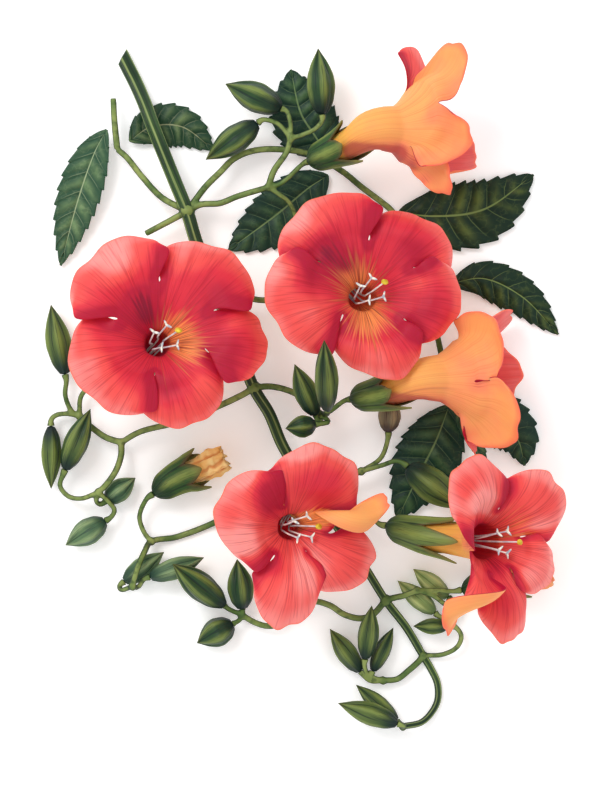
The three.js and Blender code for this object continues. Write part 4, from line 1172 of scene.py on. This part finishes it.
leaves = {
    "leaf_upper_left": {
        "midrib": [(-66, 95.3, 4), (-57.5, 101, 1.7), (-46, 101, 1.5), (-33.5, 92, 1.4)],
        "halfWidths": (8.5, 9), "arch": -0.5, "finish": "leafMild",
    },
    "leaf_hanging": {
        "midrib": [(-74.5, 99.5, 7), (-79, 91, 7), (-85.5, 73, 5), (-92.5, 47.5, 2)],
        "halfWidths": (8.5, 9), "arch": 1, "finish": "under",
    },
    "leaf_top": {
        "midrib": [(10.8, 89.2, 1.7), (5, 98, 1.7), (0, 106, 1.7), (-4, 123, 1.4)],
        "halfWidths": (13, 13), "arch": -0.5, "finish": "leaf",
    },
    "leaf_middle": {
        "midrib": [(10.5, 82.3, 1.8), (3, 77.5, 1.7), (-9, 67.5, 1.7), (-28, 53.5, 1.4)],
        "halfWidths": (13, 11), "arch": -0.5, "finish": "leaf",
    },
    "leaf_right": {
        "midrib": [(37.5, 68.2, 3), (50, 66.5, 3.4), (70, 69, 3), (89.5, 82.5, 1.8)],
        "halfWidths": (13, 14), "arch": -1, "finish": "leafSunny",
    },
    "leaf_behind": {
        "midrib": [(57.5, 40.5, 4), (70, 42.5, 3.5), (85, 35.5, 2.8), (99, 21, 2)],
        "halfWidths": (8, 8.5), "arch": -1.5, "finish": "leafSunny",
    },
    "leaf_lower": {
        "midrib": [(57, -6, 5.5), (52, -19.5, 4.5), (44.5, -34.5, 3.6), (37, -50, 2.2)],
        "halfWidths": (13, 13), "arch": -1, "finish": "leaf",
    },
    "leaf_low_right": {
        "midrib": [(61, -5.5, 4), (73.5, -11, 4), (83, -19, 3.5), (86, -29.5, 2)],
        "halfWidths": (12, 10), "arch": -1, "finish": "leaf",
    },
    "leaf_edge_on": {
        "midrib": [(58.8, -7, 8.5), (62.5, -13.5, 10), (67.5, -22.5, 9.5), (71, -29.5, 8)],
        "halfWidths": (4, 3), "arch": 1, "finish": "under",
    },
}
leafLook = {
    "thickness": 0.55,
    "outline": (3.05, 0.72, 0.95),  # fullness, and powers for how it starts and ends
    "teeth": 10,
    "toothPeak": 0.86,  # where a tooth is highest, on its way to the next
    "toothTop": 0.82,  # and its share of the depth there
    "toothDepth": 0.15,
    "toothSlant": 0.028,  # how far a tooth leans forward, as a share of the leaf's length
    "edge": 0.92,  # of the full width, between the teeth
    "quilt": 0.55,  # how high the leaf swells between its veins, mm
    "midribDepth": 0.25,
    "rows": 110,
    "columns": 26,
}


def leafPoint(leaf, route, u, v):
    look = leafLook
    along = route.direction(route.length * v)
    left = Vector((0, 0, 1)).cross(along).normalized()
    t = u * 2 - 1
    side = abs(t)
    halfWidth = leaf["halfWidths"][0 if t < 0 else 1]
    fullness, startPower, endPower = look["outline"]
    body = fullness * max(v, 1e-6) ** startPower * max(1 - v, 1e-6) ** endPower
    tooth = (v * look["teeth"]) % 1  # rises to the tooth's point, then drops
    peak = look["toothPeak"]
    saw = tooth ** 1.3 if tooth < peak else look["toothTop"] * (1 - tooth) / (1 - peak)
    saw *= smooth(v / 0.08) * smooth((1 - v) / 0.06)
    reach = max(halfWidth * body * (look["edge"] + look["toothDepth"] * saw), 0.5)
    slant = look["toothSlant"] * saw * route.length * side ** 3
    phase = (v - leafVeins["lean"] * (side - 1)) * leafVeins["pairs"]
    quilt = look["quilt"] * math.sin(math.pi * (phase % 1)) ** 2 * smooth(body)
    quilt *= smooth(side * 4) * (1 - side ** 4)
    hang = leaf["arch"] * (reach / halfWidth * side) ** 1.5
    point = route.at(route.length * v) - left * (t * reach) + along * slant
    groove = look["midribDepth"] * (1 - smooth(side * 6))
    return point + along.cross(left) * (hang + quilt - groove)


def makeLeaf(name, leaf):
    look = leafLook
    route = Route(leaf["midrib"])
    grid = sheet(look["rows"], look["columns"], lambda u, v: leafPoint(leaf, route, u, v))
    piece = joinSheets([grid], [greens[leaf["finish"]], greens["under"]], 0.001)
    thicken(piece, look["thickness"], backing=1, levels=0)
    slotName = "pale_leaf" if name == "leaf_edge_on" else "leaf"
    finishPiece(piece, name.replace("_", ""), slotName, name)


for name, leaf in leaves.items():
    makeLeaf(name, leaf)
print("leaflets made")


# the branched stem

knots = {
    "upper": (-43.5, 68, 10.5), "middle": (-18, 0.5, 9.5), "lower": (32.5, -81, 6.5),
    "low": (47, -102.5, 0), "left": (-69, -20.5, 6), "farLeft": (-85, -10.5, 5),
    "leftCluster": (-77.5, -39.5, 9), "topFork": (-12.5, 77, 14), "topCluster": (-4, 95.5, 14),
    "heart": (8, -10, 15), "lowerLeft": (-57.5, -58.5, 4), "lowerLeftEnd": (-64.5, -75.5, 10.5),
    "behind": (2.5, -37, 8), "behindRight": (23, -31.5, 10), "rightFork": (44.5, -77, 10.5),
    "leftRun": (-23, -86.5, 5), "lowLeft": (31.5, -112, 3.5), "tail": (39, -129.5, 6),
}
mainStem = [
    (-68.5, 128, 0), (-66, 123, 0), (-63.5, 118, 0), (-60, 110, 5.4), (-56.5, 100.5, 8.5),
    (-48.5, 80.5, 9.5), "upper", (-40, 56.5, 10.5), (-32.5, 37.5, 10), (-24.5, 18, 10), "middle",
    (-12, -9.5, 9), (-7, -21.5, 8.5), "behind", (13.5, -52, 7.5), (25, -69, 7), "lower",
    (40.5, -91.5, 4), "low", (50, -107.5, 0), (52.5, -113, 0), (52.8, -119, 0),
    (51, -123.5, 1.5), (46.5, -128, 3.5), "tail",
]
branches = [
    ["upper", (-53.5, 73.5, 8), (-61, 81.5, 7), (-67, 89, 6.5), (-70.5, 92, 6)],
    [(-70.5, 92, 6), (-71.5, 102, 7), (-72, 111.5, 7)],
    ["upper", (-49, 65, 10), (-59.5, 59.5, 9)],
    ["upper", (-36.5, 77.5, 9.5), (-31, 83, 9), (-26, 88, 8.5), (-19.5, 91, 8), (-10.5, 92, 7),
     (4, 90, 6), (16, 83.5, 4.2), (23, 78, 1.8), (27, 75, 0), (31, 72, 0), (35, 68.5, 0),
     (43.5, 53, 2), (49, 34, 3.5), (53, 17.5, 4), (55.5, 5.5, 4.5), (58, -3.5, 5)],
    ["upper", (-38.5, 70.5, 11), (-31, 71, 12), (-24.5, 73.5, 12.5), "topFork"],
    ["topFork", (-10.5, 83, 14), (-5.5, 90.5, 14), "topCluster"],
    [(-32, 37.5, 10), (-23, 35.5, 9.5), (-15, 34, 9), (-7, 34.5, 9)],
    ["middle", (-23, -2.5, 9), (-45, -12, 8), (-62, -16.5, 6.5), "left"],
    ["left", (-75, -18.5, 5.5), (-80, -15, 5), "farLeft"],
    ["left", (-69, -25.5, 7.5), (-71, -31.5, 9.5), (-74.5, -36.5, 10), "leftCluster"],
    ["middle", (-12, 1, 10), (-5, -0.5, 11), (1.5, -4, 12.5), "heart"],
    ["behind", (-6, -41, 8), (-17.5, -45, 7.5), (-28, -49, 4), (-37, -53, 0), (-41, -54.6, 0),
     (-45, -56, 0), (-49, -57.2, 0), "lowerLeft", (-60, -62.5, 9.5), (-62.5, -68.5, 12.2),
     "lowerLeftEnd"],
    ["behind", (13, -34.5, 9), "behindRight"],
    ["lower", (27.5, -86.5, 6), (23, -88, 6), (16.5, -86.5, 5.5), (11, -83, 5.5),
     (3.5, -81.5, 5.5), (-5.5, -86.5, 5), (-9.5, -90.5, 5), (-13, -91, 5), (-18, -89.5, 5),
     "leftRun"],
    ["lower", (35.5, -80, 8), (39.5, -79, 10), "rightFork"],
    ["low", (45.5, -104.5, 2.5), (41, -108.5, 3), (37, -111.5, 3), "lowLeft"],
]
carriers = {
    "flower_top": ["topFork", (-8.5, 78, 14), (-5.5, 80, 14.5)],
    "flower_centre": ["topFork", (-8, 74, 14), (-4, 70.5, 12)],
    "flower_left": ["farLeft", (-84.5, -3, 6), (-81, 1, 7.5)],
    "flower_right": ["heart", (11, -8.5, 17)],
    "flower_lower": [(13, -34.5, 9), (12.5, -30.5, 11)],
    "flower_low_right": [(13.5, -52, 7.5), (19.5, -46, 9), (25, -47.5, 12)],
    "opening_flower": ["lowerLeft", (-60, -55.5, 4.5), (-62, -49, 5.5)],
    "half_open_bud": ["rightFork", (51, -77, 10)],
    "bud_01": ["topCluster", (-4, 101, 14)],
    "bud_02": ["topCluster", (-8.5, 101, 14)],
    "bud_03": ["topCluster", (0.5, 97, 14), (5, 99, 14.5)],
    "bud_04": ["farLeft", (-88, -8.5, 5), (-90.5, -2.5, 5.5)],
    "bud_05": ["farLeft", (-89.5, -9.5, 5), (-94, -10, 5)],
    "bud_06": ["leftCluster", (-84.5, -42, 7), (-89.5, -41, 6), (-92.5, -37, 6.2)],
    "bud_07": ["leftCluster", (-78.5, -43, 7)],
    "bud_08": ["leftCluster", (-73.5, -43.5, 8), (-71.5, -46.5, 7)],
    "bud_09": ["lowerLeftEnd", (-69, -77, 7)],
    "bud_10": ["lowerLeftEnd", (-62.5, -76, 7)],
    "bud_11": ["leftRun", (-26.3, -85.2, 5)],
    "bud_12": ["leftRun", (-23.3, -88.5, 5.6)],
    "bud_13": ["leftRun"],
    "bud_14": ["lowLeft", (26, -110, 5)],
    "bud_15": ["lowLeft", (27, -112.2, 4)],
    "bud_16": ["lowLeft"],
    "bud_17": ["tail"],
    "bud_18": ["tail"],
    "bud_19": [(60, -82, 5.6), (59.5, -85.5, 5), (57, -87.6, 4.7)],
    "bud_20": ["rightFork", (50.5, -79, 10), (56, -82.8, 8), (60, -82.6, 5.6)],
    "bud_21": ["low", (54.5, -102, 3.5), (60, -99, 4.5), (61.5, -94.5, 5.5)],
    "bud_22": ["behindRight", (31.5, -29, 11), (36, -27.5, 12)],
    "bud_23": ["behindRight", (30.5, -26.5, 8)],
    "bud_24": ["heart", (9, -9.5, 17)],
    "bud_25": ["heart"],
    "bud_26": ["heart", (10.5, -12.5, 16.5)],
}
swellings = {"upper": 3.0, "middle": 2.8, "lower": 2.3, "low": 1.8}  # radii of the main knots
stemLook = {
    "cutEnd": 2.75,  # radii on the way down the main stem
    "middle": 2.25,
    "lower": 1.55,
    "tailEnd": 1.2,
    "middleAt": 0.48,  # shares of its length
    "tailAt": 0.8,
    "cutHeight": 2.55,
    "ribHeight": 0.09,
    "slant": 0.75,  # how the cut end is torn
    "slantDepth": 7,
    "branch": 1.25,  # radii of the side stalks
    "carrier": 1.0,
    "knot": 1.6,
    "flare": 0.5,  # how much wider a stalk is under its bud
    "budGap": -0.15,  # from a stalk's end to what it carries, below 0 inside it
    "calyxGap": -0.5,
    "step": 0.9,
    "voxel": 0.5,
}


def places(route, radius):  # the points of a route, none of them lower than its own radius
    points = [Vector(knots[p] if isinstance(p, str) else p) for p in route]
    for point in points:
        point.z = max(point.z, radius)
    return points


def mainStemRadius(v, turn):
    look = stemLook
    radius = mix(look["cutEnd"], look["middle"], min(v / look["middleAt"], 1))
    radius = mix(radius, look["lower"], smooth((v - look["middleAt"]) / 0.3))
    radius = mix(radius, look["tailEnd"], smooth((v - look["tailAt"]) / 0.2))
    return radius * (1 + look["ribHeight"] * math.cos(stemRibs * turn))


def makeMainStem():
    points = places(mainStem, 1.3)
    for point in points[:3]:
        point.z = stemLook["cutHeight"]
    route = Route(points, 900)
    tube = tubeAlong(route, mainStemRadius, 40, 420, twist=1.2)
    piece = joinSheets([tube], [greens["stem"]], 0.01)
    capEnds(piece)
    start = route.at(0)
    outward = (start - route.at(1)).normalized()
    for vertex in piece.data.vertices:
        place = vertex.co / mm - sprayShift - start
        depth = -place.dot(outward)
        if depth < stemLook["slantDepth"]:
            slant = place.x * stemLook["slant"] * smooth(1 - depth / stemLook["slantDepth"])
            vertex.co += outward * slant * mm
    finishPiece(piece, "mainStem", "stem", "stem")


def stalkTube(points, radii):
    path = Route(points)
    return tubeAlong(path, radii, 12, max(int(path.length / stemLook["step"]), 6))


def carrierPoints(name, route):  # to the foot of the bud or flower, and on along its own line
    if name in buds:
        foot, onward = (Vector(place) for place in buds[name][:2])
    else:
        head = flowers[name] if name in flowers else openingFlowers[name]
        foot, onward = Vector(head["base"]), Vector(head["bend"])
    along = (onward - foot).normalized()
    gap = stemLook["budGap" if name in buds else "calyxGap"]
    return places(route, stemLook["carrier"]) + [foot - along * 2.2, foot - along * gap]


def makeSideStalks():
    look = stemLook
    parts = []
    for route in branches:
        parts.append(stalkTube(places(route, look["branch"]),
                               lambda v, turn: look["branch"] * (1.06 - 0.1 * v)))
    for name, route in carriers.items():
        parts.append(stalkTube(
            carrierPoints(name, route),
            lambda v, turn: look["carrier"] * (1 + look["flare"] * smooth((v - 0.82) / 0.18)),
        ))
    for name, (x, y, z) in knots.items():
        radius = swellings.get(name, look["knot"])
        parts.append(bead(Vector((x, y, max(z, radius))), (radius, radius, radius * 1.1),
                          Vector((0.4, -0.9, 0))))
    piece = joinSheets(parts, [greens["stalk"]], 0.001)
    capEnds(piece)
    piece.data.remesh_voxel_size = look["voxel"] * mm
    bpy.ops.object.voxel_remesh()
    even = piece.modifiers.new("even", "SMOOTH")
    even.factor = 0.5
    even.iterations = 5
    applyAll(piece)
    finishPiece(piece, "sideStalks", "stem", "stem")


makeMainStem()
makeSideStalks()
print("stem made")


# floor, light and camera

studio = {
    "floor": shade(252, 252, 252),
    "glow": 0.22,  # keeps the shadows on the floor pale
    "world": 0.9,
    "lamps": {  # place, width and power
        "key": ((-0.7, 0.75, 1.3), 0.7, 12.0),
        "fill": ((0.9, -0.5, 1.2), 1.2, 1.5),
    },
    "lens": 170,
    "sensor": 36,
    "pictureHeight": 0.304,  # metres of the surface that fill the picture from top to bottom
    "focusHeight": 0.02,
    "centre": (-0.4, -4.2),
}


def makeStudio():
    deselect()
    bpy.ops.mesh.primitive_plane_add(size=6)
    floor = bpy.context.object
    floor.name = "floor"
    paper = bpy.data.materials.new("paleFloor")
    paper.use_nodes = True
    surface = paper.node_tree.nodes["Principled BSDF"]
    surface.inputs["Base Color"].default_value = studio["floor"]
    surface.inputs["Roughness"].default_value = 0.9
    surface.inputs["Emission Color"].default_value = (1, 1, 1, 1)
    surface.inputs["Emission Strength"].default_value = studio["glow"]
    floor.data.materials.append(paper)
    for name, (place, size, power) in studio["lamps"].items():
        lamp = bpy.data.lights.new(name, "AREA")
        lamp.size = size
        lamp.energy = power
        stand = bpy.data.objects.new(name, lamp)
        stand.location = place
        stand.rotation_euler = (-Vector(place)).to_track_quat("-Z", "Y").to_euler()
        bpy.context.collection.objects.link(stand)
    sky = bpy.data.worlds.new("softWhite")
    sky.use_nodes = True
    sky.node_tree.nodes["Background"].inputs["Color"].default_value = (1, 1, 1, 1)
    sky.node_tree.nodes["Background"].inputs["Strength"].default_value = studio["world"]
    bpy.context.scene.world = sky
    bpy.context.scene.view_settings.view_transform = "Standard"


def makeCamera():
    eye = bpy.data.cameras.new("camera")
    eye.lens = studio["lens"]
    eye.sensor_width = studio["sensor"]
    distance = studio["pictureHeight"] * studio["lens"] / studio["sensor"]
    camera = bpy.data.objects.new("camera", eye)
    x, y = (c + s for c, s in zip(studio["centre"], sprayShift))
    camera.location = (x * mm, y * mm, distance + studio["focusHeight"])
    bpy.context.collection.objects.link(camera)
    bpy.context.scene.camera = camera


makeStudio()
makeCamera()
print("studio ready")
